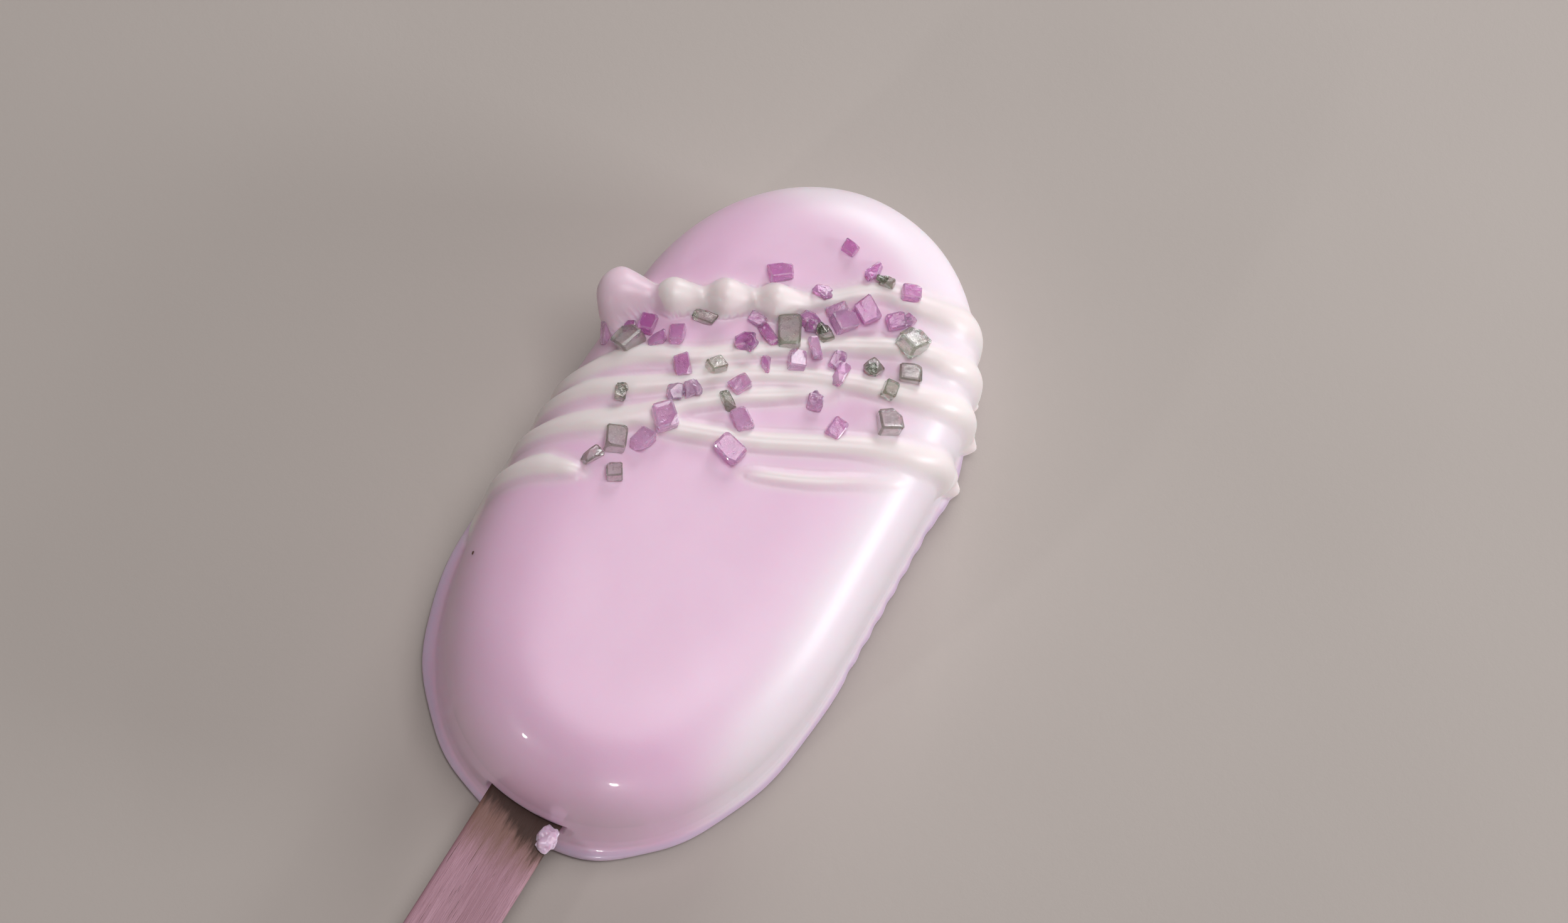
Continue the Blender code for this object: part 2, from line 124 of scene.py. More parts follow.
class Graph:
    """One node tree while it is being wired up, for a material, a shader group or geometry."""

    def __init__(self, tree: NodeTree) -> None:
        """Take hold of a tree.

        Args:
            tree: The tree that new nodes go into.
        """
        self.tree = tree

    def node(self, kind: str, feeds: dict | None = None, **settings) -> Node:
        """Add a node.

        Args:
            kind: The node's type name.
            feeds: What goes into its inputs, by the input's name or number: a socket or a value.
            **settings: The node's own properties.

        Returns:
            The new node.
        """
        made = self.tree.nodes.new(kind)
        for name, value in settings.items():
            setattr(made, name, value)
        for key, value in (feeds or {}).items():
            self.feed(made.inputs[key], value)
        return made

    def feed(self, socket: Socket, value) -> None:
        """Join a socket to an input, or set the input's own value.

        Args:
            socket: The input.
            value: A socket or a plain value.
        """
        if isinstance(value, Socket):
            self.tree.links.new(value, socket)
        else:
            socket.default_value = value

    def math(self, operation: str, *values) -> Socket:
        """Return the result of arithmetic on numbers."""
        return self.node("ShaderNodeMath", dict(enumerate(values)), operation=operation).outputs[0]

    def vector(self, operation: str, *values, output: str = "Vector") -> Socket:
        """Return what comes of arithmetic on vectors: a vector, unless another output is named."""
        feeds = dict(enumerate(values))
        return self.node("ShaderNodeVectorMath", feeds, operation=operation).outputs[output]

    def scaled(self, vector: Socket, factor) -> Socket:
        """Return the vector times a number."""
        feeds = {0: vector, "Scale": factor}
        return self.node("ShaderNodeVectorMath", feeds, operation="SCALE").outputs["Vector"]

    def measure(self, operation: str, *values) -> Socket:
        """Return the number that comes of arithmetic on vectors."""
        return self.vector(operation, *values, output="Value")

    def parts(self, vector: Socket) -> bpy.types.bpy_prop_collection:
        """Return the vector's parts, named X, Y and Z."""
        return self.node("ShaderNodeSeparateXYZ", {0: vector}).outputs

    def rise(self, value, low: float, high: float) -> Socket:
        """Return 0 below the low value, 1 above the high one, and a soft step between."""
        feeds = {"Value": value, "From Min": low, "From Max": high}
        return self.node("ShaderNodeMapRange", feeds, interpolation_type="SMOOTHSTEP").outputs["Result"]

    def mix(self, share, first, second) -> Socket:
        """Return the first colour at share 0 and the second at 1."""
        feeds = {"Factor": share, 6: first, 7: second}
        return self.node("ShaderNodeMix", feeds, data_type="RGBA").outputs[2]

    def cover(self, colour, other, mask: Socket, amount: float) -> Socket:
        """Return the colour with the other over it where the mask is, at most by the amount."""
        return self.mix(self.math("MULTIPLY", mask, amount), colour, other)

    def noise(self, vector: Socket, scale, detail: float = 3.0, roughness: float = 0.6) -> Socket:
        """Return a cloudy value round a half."""
        feeds = {"Vector": vector, "Scale": scale, "Detail": detail, "Roughness": roughness}
        return self.node("ShaderNodeTexNoise", feeds).outputs[0]

    def attribute(self, name: str, kind: str = "FLOAT") -> Socket:
        """Return a named attribute of the geometry that a geometry tree works on."""
        made = self.node("GeometryNodeInputNamedAttribute", {"Name": name}, data_type=kind)
        return made.outputs["Attribute"]

    def store(self, geometry: Socket, name: str, value, kind: str = "FLOAT") -> Socket:
        """Return the geometry with a value kept on its points under a name."""
        feeds = {"Geometry": geometry, "Name": name, "Value": value}
        return self.node("GeometryNodeStoreNamedAttribute", feeds, data_type=kind).outputs["Geometry"]

    def dress(self, geometry: Socket, finish: Socket) -> Socket:
        """Return the geometry with its instances made real and its material set."""
        whole = self.node("GeometryNodeRealizeInstances", {"Geometry": geometry}).outputs[0]
        return self.node("GeometryNodeSetMaterial", {"Geometry": whole, "Material": finish}).outputs[0]

    def repeat(self, geometry: Socket, times) -> tuple[Node, Node]:
        """Open a repeat zone that carries geometry round.

        Args:
            geometry: What goes in.
            times: How many rounds there are.

        Returns:
            The zone's first and last node.
        """
        first = self.tree.nodes.new("GeometryNodeRepeatInput")
        last = self.tree.nodes.new("GeometryNodeRepeatOutput")
        first.pair_with_output(last)
        self.feed(first.inputs["Iterations"], times)
        self.feed(first.inputs["Geometry"], geometry)
        return first, last


def new_group(name: str, kind: str, inputs: dict[str, tuple],
              outputs: dict[str, str]) -> tuple[Graph, dict, dict]:
    """Start a node group with named inputs and outputs.

    Args:
        name: The group's name.
        kind: The type of tree.
        inputs: Each input's kind of socket and its starting value, or None, by name.
        outputs: Each output's kind of socket, by name.

    Returns:
        The group's graph, its input sockets by name and its output sockets by name.
    """
    tree = bpy.data.node_groups.new(name, kind)
    for label, (socket_kind, value) in inputs.items():
        made = tree.interface.new_socket(name=label, in_out="INPUT", socket_type=socket_kind)
        if value is not None:
            made.default_value = value
    for label, socket_kind in outputs.items():
        tree.interface.new_socket(name=label, in_out="OUTPUT", socket_type=socket_kind)
    start = tree.nodes.new("NodeGroupInput")
    end = tree.nodes.new("NodeGroupOutput")
    given = {label: start.outputs[label] for label in inputs}
    wanted = {label: end.inputs[label] for label in outputs}
    return Graph(tree), given, wanted


class Effects:
    """Shader groups that several finishes share."""

    CLOUD_DETAIL = 2.5
    EVEN = 0.5
    FINE_SCALE = 3.7
    FINE_DETAIL = 1.0
    FINE_SHARE = 0.3
    PIT_HEIGHTS = (0.42, 0.30)

    def __init__(self) -> None:
        """Build each group once."""
        self.cloud = self.build_cloud()
        self.grit = self.build_grit()

    def build_cloud(self) -> NodeTree:
        """Build the slow change of tone over a surface.

        Returns:
            A group that puts out a share from 0 to 1.
        """
        inputs = {"Vector": ("NodeSocketVector", None), "Patch Size": ("NodeSocketFloat", 10.0),
                  "Contrast": ("NodeSocketFloat", 1.0)}
        graph, given, wanted = new_group("tone_cloud", "ShaderNodeTree", inputs, {"Tone": "NodeSocketFloat"})
        scale = graph.math("DIVIDE", 1 / MM, given["Patch Size"])
        broad = graph.noise(given["Vector"], scale, self.CLOUD_DETAIL, self.EVEN)
        spread = graph.math("MULTIPLY", graph.math("SUBTRACT", broad, 0.5), given["Contrast"])
        tone = graph.node("ShaderNodeClamp", {"Value": graph.math("ADD", spread, 0.5)})
        graph.feed(wanted["Tone"], tone.outputs[0])
        return graph.tree

    def build_grit(self) -> NodeTree:
        """Build the fine relief of a surface.

        Returns:
            A group that puts out a height and a mask of the small pits.
        """
        inputs = {"Vector": ("NodeSocketVector", None), "Grain Size": ("NodeSocketFloat", 0.5)}
        outputs = {"Height": "NodeSocketFloat", "Pits": "NodeSocketFloat"}
        graph, given, wanted = new_group("fine_grit", "ShaderNodeTree", inputs, outputs)
        scale = graph.math("DIVIDE", 1 / MM, given["Grain Size"])
        coarse = graph.noise(given["Vector"], scale)
        fine_scale = graph.math("MULTIPLY", scale, self.FINE_SCALE)
        fine = graph.noise(given["Vector"], fine_scale, self.FINE_DETAIL, self.EVEN)
        height = graph.math("MULTIPLY_ADD", fine, self.FINE_SHARE,
                            graph.math("MULTIPLY", coarse, 1 - self.FINE_SHARE))
        graph.feed(wanted["Height"], height)
        graph.feed(wanted["Pits"], graph.rise(height, *self.PIT_HEIGHTS))
        return graph.tree


@dataclass(frozen=True)
class Texture:
    """A finish's tone patches and their contrast, and its grain and relief. Sizes are in millimetres."""

    patch: float
    contrast: float
    grain: float
    relief: float


@dataclass(frozen=True)
class Soak:
    """How light goes into a stuff: how much does, how far each colour goes against red, and red's reach."""

    share: float
    colours: Triple
    reach: float


class MaterialGraph(Graph):
    """The node tree of one material, with its shader at hand."""

    def __init__(self, name: str) -> None:
        """Start a material.

        Args:
            name: The material's name.
        """
        self.material = bpy.data.materials.new(name)
        self.material.use_nodes = True
        super().__init__(self.material.node_tree)
        self.shader = self.tree.nodes["Principled BSDF"]
        self.place = self.node("ShaderNodeTexCoord").outputs["Object"]

    def effect(self, group: NodeTree, **values) -> Node:
        """Place a shared group.

        Args:
            group: The group.
            **values: Its inputs, with the spaces of their names left out.

        Returns:
            The group's node in this material.
        """
        made = self.node("ShaderNodeGroup", node_tree=group)
        for socket in made.inputs:
            key = socket.name.replace(" ", "_").lower()
            if key in values:
                self.feed(socket, values[key])
        return made

    def mesh_value(self, name: str) -> Socket:
        """Return an attribute that the mesh carries."""
        return self.node("ShaderNodeAttribute", attribute_name=name).outputs["Fac"]

    def set(self, **values) -> None:
        """Set inputs of the shader, named with underscores, to sockets or values."""
        for key, value in values.items():
            self.feed(self.shader.inputs[key.replace("_", " ").title().replace("Ior", "IOR")], value)

    def soak(self, soak: Soak) -> None:
        """Let light into the stuff."""
        self.set(subsurface_weight=soak.share, subsurface_radius=soak.colours,
                 subsurface_scale=soak.reach * MM)

    def texture(self, effects: Effects, sizes: Texture, place: Socket | None = None) -> tuple[Socket, dict]:
        """Place the two shared effects.

        Args:
            effects: The shared groups.
            sizes: How large their patches and grains are.
            place: Where they are read, if not at the plain object coordinates.

        Returns:
            The tone from 0 to 1, and the relief's outputs Height and Pits.
        """
        place = self.place if place is None else place
        cloud = self.effect(effects.cloud, vector=place, patch_size=sizes.patch, contrast=sizes.contrast)
        grit = self.effect(effects.grit, vector=place, grain_size=sizes.grain)
        return cloud.outputs["Tone"], grit.outputs

    def drawn_out(self, stretch: float) -> Socket:
        """Return the object coordinates drawn out along Y."""
        feeds = {"Vector": self.place, "Scale": (1.0, 1 / stretch, 1.0)}
        return self.node("ShaderNodeMapping", feeds).outputs[0]

    def bump(self, height: Socket, depth: float) -> None:
        """Turn a height from 0 to 1 into the shader's normal, where 1 is a depth in millimetres."""
        feeds = {"Height": height, "Distance": depth * MM}
        self.feed(self.shader.inputs["Normal"], self.node("ShaderNodeBump", feeds).outputs[0])


@dataclass(frozen=True)
class IcingFinish:
    """Pink coating and ivory drizzle, soft and waxy, that light goes a little way into."""

    pink: Colour = paint(239, 202, 227)
    pink_deep: Colour = paint(235, 195, 221)
    ivory: Colour = paint(244, 234, 233)
    ivory_deep: Colour = paint(240, 226, 227)
    # Painted highlight: near-white pink laid where the coating faces the side and back lamps
    bloom: Colour = paint(249, 236, 243)
    bloom_share: float = 0.85
    lavender: Colour = paint(212, 188, 212)
    texture: Texture = Texture(patch=14.0, contrast=1.6, grain=0.9, relief=0.012)
    soak: Soak = Soak(share=0.85, colours=(1.0, 0.62, 0.7), reach=1.1)
    refraction: float = 1.46
    roughness: float = 0.34
    roughness_spread: float = 0.08
    wet_below: float = -40.5
    wet_fade: float = 1.5
    wet_coat: float = 0.5
    wet_roughness: float = 0.04

    def material(self, effects: Effects) -> Material:
        """Build the material.

        Args:
            effects: The shared groups.

        Returns:
            A material that reads the attributes ivory, bloom and rim of the skin.
        """
        graph = MaterialGraph("icing")
        tone, relief = graph.texture(effects, self.texture)
        pink = graph.mix(tone, self.pink, self.pink_deep)
        # Painted sheen: the pink is paled where the skin faces the side and back lamps, in place of their
        # highlight
        pink = graph.cover(pink, self.bloom, graph.mesh_value("bloom"), self.bloom_share)
        pink = graph.mix(graph.mesh_value("rim"), pink, self.lavender)
        ivory = graph.mix(tone, self.ivory, self.ivory_deep)
        along = graph.parts(graph.place)["Y"]
        wet = graph.rise(along, (self.wet_below + self.wet_fade) * MM, self.wet_below * MM)
        graph.set(base_color=graph.mix(graph.mesh_value("ivory"), pink, ivory), ior=self.refraction,
                  roughness=graph.math("MULTIPLY_ADD", tone, self.roughness_spread, self.roughness),
                  coat_weight=graph.math("MULTIPLY", wet, self.wet_coat), coat_roughness=self.wet_roughness)
        graph.soak(self.soak)
        graph.bump(relief["Height"], self.texture.relief)
        return graph.material


@dataclass(frozen=True)
class SugarFinish:
    """Coloured coarse sugar: frosted clear crystals with fine cracks and rubbed edges of another tone."""

    name: str
    body: Colour
    deep: Colour
    edge: Colour
    vein: Colour
    clear: float
    roughness: float
    veined: float
    texture: Texture = Texture(patch=1.6, contrast=2.0, grain=0.5, relief=0.11)
    soak: Soak = Soak(share=0.4, colours=(1.0, 0.8, 1.0), reach=0.8)
    refraction: float = 1.45
    tint_share: float = 0.65
    frost: float = 0.8
    veins_per_mm: float = 0.9
    vein_width: Range = (0.018, 0.004)
    pit_roughness: float = 0.25
    gloss: float = 0.8
    gloss_roughness: float = 0.09

    def material(self, effects: Effects) -> Material:
        """Build the material.

        Args:
            effects: The shared groups.

        Returns:
            A material that reads the attributes edge and tint.
        """
        graph = MaterialGraph(self.name)
        tone, relief = graph.texture(effects, self.texture)
        depth = graph.math("MULTIPLY_ADD", graph.mesh_value("tint"), self.tint_share,
                           graph.math("MULTIPLY", tone, 1 - self.tint_share))
        colour = graph.mix(depth, self.body, self.deep)
        colour = graph.cover(colour, self.edge, graph.mesh_value("edge"), self.frost)
        veins = graph.noise(graph.place, self.veins_per_mm / MM)
        crack = graph.math("ABSOLUTE", graph.math("SUBTRACT", veins, 0.5))
        colour = graph.cover(colour, self.vein, graph.rise(crack, *self.vein_width), self.veined)
        graph.set(base_color=colour, transmission_weight=self.clear, ior=self.refraction,
                  roughness=graph.math("MULTIPLY_ADD", relief["Pits"], self.pit_roughness, self.roughness),
                  coat_weight=self.gloss, coat_roughness=self.gloss_roughness)
        graph.soak(self.soak)
        graph.bump(relief["Height"], self.texture.relief)
        return graph.material


@dataclass(frozen=True)
class WoodFinish:
    """Plain birch, with fine streaks and pores along the stick, and darker where it meets the cake: painted
    shade under the coating's lip together with a damp stain.
    """

    pale: Colour = paint(200, 156, 172)
    streak: Colour = paint(164, 120, 132)
    pore: Colour = paint(88, 60, 56)
    # Painted shade with a damp stain: the olive-brown band that fades out a few millimetres below the cake's
    # mouth
    damp_and_shade: Colour = paint(126, 94, 74)
    # Painted shade with a stain: the dark brown just under the coating's lip
    stain_and_shade: Colour = paint(56, 31, 18)
    texture: Texture = Texture(patch=1.1, contrast=1.8, grain=0.2, relief=0.06)
    soak: Soak = Soak(share=0.08, colours=(1.0, 0.6, 0.4), reach=0.5)
    stretch: float = 26.0
    fibres_per_mm: float = 5.5
    streak_heights: Range = (0.50, 0.66)
    streak_share: float = 0.6
    pore_heights: Range = (0.38, 0.27)
    pore_share: float = 0.75
    # Where along the stick, in millimetres, the painted shade and stain lie, and how strong they are
    damp_and_shade_range: Range = (-54.5, -48.0)
    damp_and_shade_share: float = 0.8
    stain_and_shade_range: Range = (-48.9, -46.5)
    stain_and_shade_share: float = 0.9
    stain_and_shade_lean: float = 0.35
    stain_and_shade_stretch: float = 7.0
    tongues_per_mm: float = 1.3
    tongue_detail: float = 4.0
    tongue_roughness: float = 0.65
    tongue_length: float = 6.0
    roughness: float = 0.55
    fibre_roughness: float = 0.2

    def material(self, effects: Effects) -> Material:
        """Build the material.

        Args:
            effects: The shared groups.

        Returns:
            The wood material.
        """
        graph = MaterialGraph("birch_wood")
        run = graph.drawn_out(self.stretch)
        tone, relief = graph.texture(effects, self.texture, run)
        fibres = graph.noise(run, self.fibres_per_mm / MM)
        colour = graph.mix(tone, self.pale, self.streak)
        streaks = graph.rise(fibres, *self.streak_heights)
        colour = graph.cover(colour, self.streak, streaks, self.streak_share)
        colour = graph.cover(colour, self.pore, graph.rise(fibres, *self.pore_heights), self.pore_share)
        ragged = graph.noise(graph.drawn_out(self.stain_and_shade_stretch), self.tongues_per_mm / MM,
                             self.tongue_detail, self.tongue_roughness)
        wander = graph.math("MULTIPLY", graph.math("SUBTRACT", ragged, 0.5), self.tongue_length * MM)
        parts = graph.parts(graph.place)
        level = graph.math("ADD", parts["Y"], wander)
        tilted = graph.math("MULTIPLY_ADD", parts["X"], self.stain_and_shade_lean, level)
        # Darker towards the mouth: painted shade under the coating's lip with a damp stain, as a wide band
        # and a narrow dark one
        for height, reach, other, share in ((level, self.damp_and_shade_range, self.damp_and_shade, self.damp_and_shade_share),
                                            (tilted, self.stain_and_shade_range, self.stain_and_shade, self.stain_and_shade_share)):
            soak_and_shade = graph.rise(height, reach[0] * MM, reach[1] * MM)
            colour = graph.cover(colour, other, soak_and_shade, share)
        graph.set(base_color=colour,
                  roughness=graph.math("MULTIPLY_ADD", fibres, self.fibre_roughness, self.roughness))
        graph.soak(self.soak)
        graph.bump(graph.math("ADD", fibres, relief["Height"]), self.texture.relief)
        return graph.material


@dataclass(frozen=True)
class MattFinish:
    """A dull surface of two close tones with a faint tooth."""

    name: str
    pale: Colour
    deep: Colour
    texture: Texture
    roughness: float

    def material(self, effects: Effects) -> Material:
        """Build the material.

        Args:
            effects: The shared groups.

        Returns:
            The material.
        """
        graph = MaterialGraph(self.name)
        tone, relief = graph.texture(effects, self.texture)
        graph.set(base_color=graph.mix(tone, self.pale, self.deep), roughness=self.roughness)
        graph.bump(relief["Height"], self.texture.relief)
        return graph.material


PURPLE_SUGAR = SugarFinish("purple_sugar", body=paint(255, 228, 252), deep=paint(228, 122, 214),
                           edge=paint(255, 224, 252), vein=paint(226, 150, 214), clear=0.78,
                           roughness=0.12, veined=0.25)
GREEN_SUGAR = SugarFinish("green_sugar", body=paint(255, 254, 250), deep=paint(232, 236, 222),
                          edge=paint(142, 152, 126), vein=paint(88, 96, 74), clear=0.84,
                          roughness=0.07, veined=0.6)
FLOOR = MattFinish("studio_floor", paint(183, 174, 168), paint(177, 168, 162),
                   Texture(patch=60.0, contrast=1.5, grain=1.2, relief=0.03), roughness=0.85)
CRUMB = MattFinish("dark_crumb", paint(70, 44, 38), paint(112, 78, 66),
                   Texture(patch=0.2, contrast=2.0, grain=0.08, relief=0.03), roughness=0.7)


def add_object(name: str, mesh: Mesh, material: Material | None = None) -> Item:
    """Put a mesh in the scene.

    Args:
        name: The object's name.
        mesh: Its mesh, already in place.
        material: Its material, if it is a finished piece.

    Returns:
        The new object, at the origin.
    """
    item = bpy.data.objects.new(name, mesh)
    bpy.context.scene.collection.objects.link(item)
    if material:
        mesh.materials.clear()
        mesh.materials.append(material)
    return item


def settle(item: Item) -> None:
    """Turn what an object's modifiers make into its plain mesh, and drop the modifiers.

    Args:
        item: The object.
    """
    bpy.context.view_layer.update()
    graph = bpy.context.evaluated_depsgraph_get()
    mesh = bpy.data.meshes.new_from_object(item.evaluated_get(graph))
    item.modifiers.clear()
    item.data = mesh


def attach_tree(item: Item, graph: Graph, values: dict) -> None:
    """Run a geometry tree on an object and keep the result.

    Args:
        item: The object.
        graph: The geometry tree.
        values: The tree's inputs by name.
    """
    modifier = item.modifiers.new(graph.tree.name, "NODES")
    modifier.node_group = graph.tree
    sockets = [entry for entry in graph.tree.interface.items_tree if entry.in_out == "INPUT"]
    for entry in sockets:
        if entry.name in values:
            modifier[entry.identifier] = values[entry.name]
    settle(item)


def report(item: Item) -> None:
    """Log a finished piece's name and its size in triangles."""
    count = sum(len(face.vertices) - 2 for face in item.data.polygons)
    logging.info("%s: %d triangles", item.name, count)


def scrap(items: list[Item]) -> None:
    """Take away objects that only helped to make others."""
    for item in items:
        bpy.data.objects.remove(item, do_unlink=True)


def stand_for(item: Item, node: CadNode) -> Item:
    """Let a finished piece ride on the body and stand for a solid.

    Args:
        item: The piece.
        node: The solid that it replaces.

    Returns:
        The piece.
    """
    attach(item, BODY)
    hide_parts(node.value)
    return item


def keep_values(mesh: Mesh, name: str, kind: str, values) -> None:
    """Keep values on a mesh's points.

    Args:
        mesh: The mesh.
        name: The values' name.
        kind: FLOAT, INT or FLOAT_VECTOR.
        values: A value for each point.
    """
    number = np.int32 if kind == "INT" else np.float32
    key = "vector" if kind == "FLOAT_VECTOR" else "value"
    mesh.attributes.new(name, kind, "POINT").data.foreach_set(key, np.asarray(values, number).ravel())


def mesh_from(bm: bmesh.types.BMesh, name: str) -> Mesh:
    """Turn a worked mesh into a plain one.

    Args:
        bm: The worked mesh, which is freed.
        name: The new mesh's name.

    Returns:
        The plain mesh.
    """
    mesh = bpy.data.meshes.new(name)
    bm.to_mesh(mesh)
    bm.free()
    return mesh


def ring_faces(count: int, rings: int) -> list[tuple[int, ...]]:
    """Return the faces between rings of so many points each, numbered ring by ring."""
    return [(low + i, low + (i + 1) % count, low + count + (i + 1) % count, low + count + i)
            for low in range(0, (rings - 1) * count, count) for i in range(count)]


def run_along(steps: np.ndarray) -> np.ndarray:
    """Return how far along each point is, from the steps between them."""
    return np.concatenate([[0.0], np.cumsum(steps)])


def read_along(wanted: np.ndarray, run: np.ndarray, columns: np.ndarray) -> np.ndarray:
    """Return columns of values, read at the wanted places along their run."""
    return np.column_stack([np.interp(wanted, run, column) for column in columns.T])


@dataclass(frozen=True)
class Wave:
    """A layer of unevenness: its strength, how many waves a unit holds, and where in the noise it starts."""

    strength: float
    scale: float
    start: Triple = (0.0, 0.0, 0.0)

    def at(self, place: Vector, start: Vector | None = None) -> float:
        """Return its height at a place, with its own start or the given one."""
        start = Vector(self.start) if start is None else start
        return self.strength * noise.noise(place * self.scale + start)


def lump_mesh(name: str, radii: Triple, waves: tuple[Wave, ...], divisions: int, place: Matrix) -> Mesh:
    """Make a small uneven lump.

    Args:
        name: The mesh's name.
        radii: Its half sizes.
        waves: Its unevenness, as a share of its radius.
        divisions: How often its ball is divided.
        place: Where it lies and how it is turned.

    Returns:
        A closed, smooth mesh.
    """
    bm = bmesh.new()
    bmesh.ops.create_icosphere(bm, subdivisions=divisions, radius=1.0)
    for vertex in bm.verts:
        swell = 1 + sum(wave.at(vertex.co) for wave in waves)
        stretched = Vector([value * swell * radius for value, radius in zip(vertex.co, radii)])
        vertex.co = (place @ stretched) * MM
    mesh = mesh_from(bm, name)
    mesh.shade_smooth()
    return mesh


@dataclass(frozen=True)
class BodyForm:
    """The coated lozenge's form: a flat back with a rim, upright walls and a crowned front."""

    width: float = 48.5
    length: float = 91.0
    depth: float = 24.0
    top_end: float = 27.0
    low_end: float = 37.0
    top_roundness: float = 2.05
    low_roundness: float = 2.16
    taper: float = 0.055
    wall_height: float = 10.0
    wall_draft: float = 0.8
    crown_square: float = 6.0
    crown_root: float = 2.2
    rim_swells: tuple[Triple, ...] = ((196.0, 12.0, 1.0), (234.0, 8.0, 0.55), (0.0, 7.0, 0.5))
    rim_waves: tuple[float, float] = (31.0, 0.10)
    search_steps: int = 34
    search_from: float = -20.0
    search_gap: float = 0.001
    slope_step: float = 0.05
    facing_step: float = 0.1

    @property
    def top_y(self) -> float:
        """Where the straight sides end at the top."""
        return self.length / 2 - self.top_end

    @property
    def low_y(self) -> float:
        """Where the straight sides end at the stick."""
        return self.low_end - self.length / 2

    def width_share(self, y: np.ndarray) -> np.ndarray:
        """Return how wide the body is at y, as a share of its middle width."""
        return 1.0 - self.taper * y / (self.length / 2)

    def outline(self, rounds: np.ndarray, inset: float, swell: float = 0.0) -> np.ndarray:
        """Walk round the outline.

        Args:
            rounds: Places round it, from 0 to 4: top end, left side, low end, right side.
            inset: How far in from the outline.
            swell: How far the rim swells where it is widest.

        Returns:
            Plan points, anticlockwise from the right.
        """
        part = np.floor(rounds).astype(int)
        share = rounds - part
        parts = [part == 0, part == 1, part == 2]
        degrees = np.select(parts, [180 * share, 180.0, 180 + 180 * share], 360.0)
        around = (90 * rounds + 45) % 360 - 45
        count, height = self.rim_waves
        spread = sum(size * np.exp(-((around - place) / reach) ** 2)
                     for place, reach, size in self.rim_swells)
        inset = inset - swell * (spread + height * np.sin(np.radians(around) * count))
        power = 2 / np.where(part == 0, self.top_roundness, self.low_roundness)
        across, along = [np.sign(value) * np.abs(value) ** power
                         for value in (np.cos(np.radians(degrees)), np.sin(np.radians(degrees)))]
        side = self.top_y - self.low_y
        y = np.select(parts, [self.top_y + (self.top_end - inset) * along, self.top_y - side * share,
                              self.low_y + (self.low_end - inset) * along], self.low_y + side * share)
        return np.column_stack([across * (self.width / 2 - inset) * self.width_share(y), y])

    def crown_height(self, inset: np.ndarray) -> np.ndarray:
        """Find how high the rounded front is.

        Args:
            inset: How far in from the outline.

        Returns:
            The heights.
        """
        run = np.clip((inset - self.wall_draft) / (self.width / 2 - self.wall_draft), 0.0, 1.0)
        rise = (1.0 - (1.0 - run) ** self.crown_square) ** (1.0 / self.crown_root)
        return self.wall_height + (self.depth - self.wall_height) * rise

    def outside_measure(self, plan: np.ndarray, inset: np.ndarray) -> np.ndarray:
        """Compare plan points with the outline of an inset.

        Args:
            plan: Plan points.
            inset: How far in the outline is, at each point.

        Returns:
            More than 1 where a point is outside it.
        """
        x, y = np.abs(plan[:, 0]), plan[:, 1]
        across = x / ((self.width / 2 - inset) * self.width_share(y))
        top = np.clip(y - self.top_y, 0, None) / (self.top_end - inset)
        low = np.clip(self.low_y - y, 0, None) / (self.low_end - inset)
        ends = across ** self.top_roundness + top ** self.top_roundness
        foot = across ** self.low_roundness + low ** self.low_roundness
        return np.where(y > self.top_y, ends, np.where(y < self.low_y, foot, across))

    def inset_at(self, plan: np.ndarray) -> np.ndarray:
        """Find how far inside the outline plan points lie.

        Args:
            plan: Plan points.

        Returns:
            The distance in from the outline, less than zero outside it.
        """
        low = np.full(len(plan), self.search_from)
        high = np.full(len(plan), self.width / 2 - self.search_gap)
        for _ in range(self.search_steps):
            middle = (low + high) / 2
            outside = self.outside_measure(plan, middle) > 1.0
            high = np.where(outside, middle, high)
            low = np.where(outside, low, middle)
        return low

    def lay(self, plan: np.ndarray) -> np.ndarray:
        """Lay plan points on the coating, and carry those beyond its edge on down the wall.

        Args:
            plan: Plan points.

        Returns:
            Points on the coating.
        """
        inset = self.inset_at(plan)
        on_front = np.column_stack([plan, self.crown_height(inset)])
        inward = np.column_stack([self.inset_at(plan + shift) - self.inset_at(plan - shift)
                                  for shift in np.eye(2) * self.slope_step])
        inward /= np.linalg.norm(inward, axis=1)[:, None] + TINY
        height = self.wall_height - (self.wall_draft - inset)
        shift = self.wall_draft * height / self.wall_height - inset
        on_wall = np.column_stack([plan + inward * shift[:, None], height])
        return np.where((inset >= self.wall_draft)[:, None], on_front, on_wall)

    def outward(self, plan: np.ndarray) -> np.ndarray:
        """Find the coating's outward directions.

        Args:
            plan: Plan points.

        Returns:
            A direction of length 1 for each.
        """
        ways = [self.lay(plan + shift) - self.lay(plan - shift) for shift in np.eye(2) * self.facing_step]
        facing = np.cross(*ways)
        return facing / np.linalg.norm(facing, axis=1)[:, None]


def smooth_curve(points: list[tuple], steps: int = 24) -> np.ndarray:
    """Draw a smooth curve through points.

    Args:
        points: The points, of any number of values each.
        steps: How many pieces each span is cut into.

    Returns:
        Points along the curve.
    """
    knots = np.array(points, float)
    knots = np.vstack([2 * knots[0] - knots[1], knots, 2 * knots[-1] - knots[-2]])
    share = (np.arange(steps) / steps)[:, None]
    curve = []
    for first, start, end, last in zip(knots, knots[1:], knots[2:], knots[3:]):
        curve.append(0.5 * (2 * start + (end - first) * share
                            + (2 * first - 5 * start + 4 * end - last) * share ** 2
                            + (3 * start - first - 3 * end + last) * share ** 3))
    return np.vstack(curve + [knots[-2:-1]])


@dataclass(frozen=True)
class Chain:
    """A run of icing of changing thickness, as its middle line and its radius along it."""

    middles: np.ndarray
    radii: np.ndarray
    ivory: float = 1.0


@dataclass(frozen=True)
class Bead:
    """A piped bead with a tail towards the next one: plan place, radius, and how far it stands proud."""

    x: float
    y: float
    radius: float
    lift: float
    tail: float
    tail_radius: float
    slump: float = 0.55
    ivory: float = 1.0


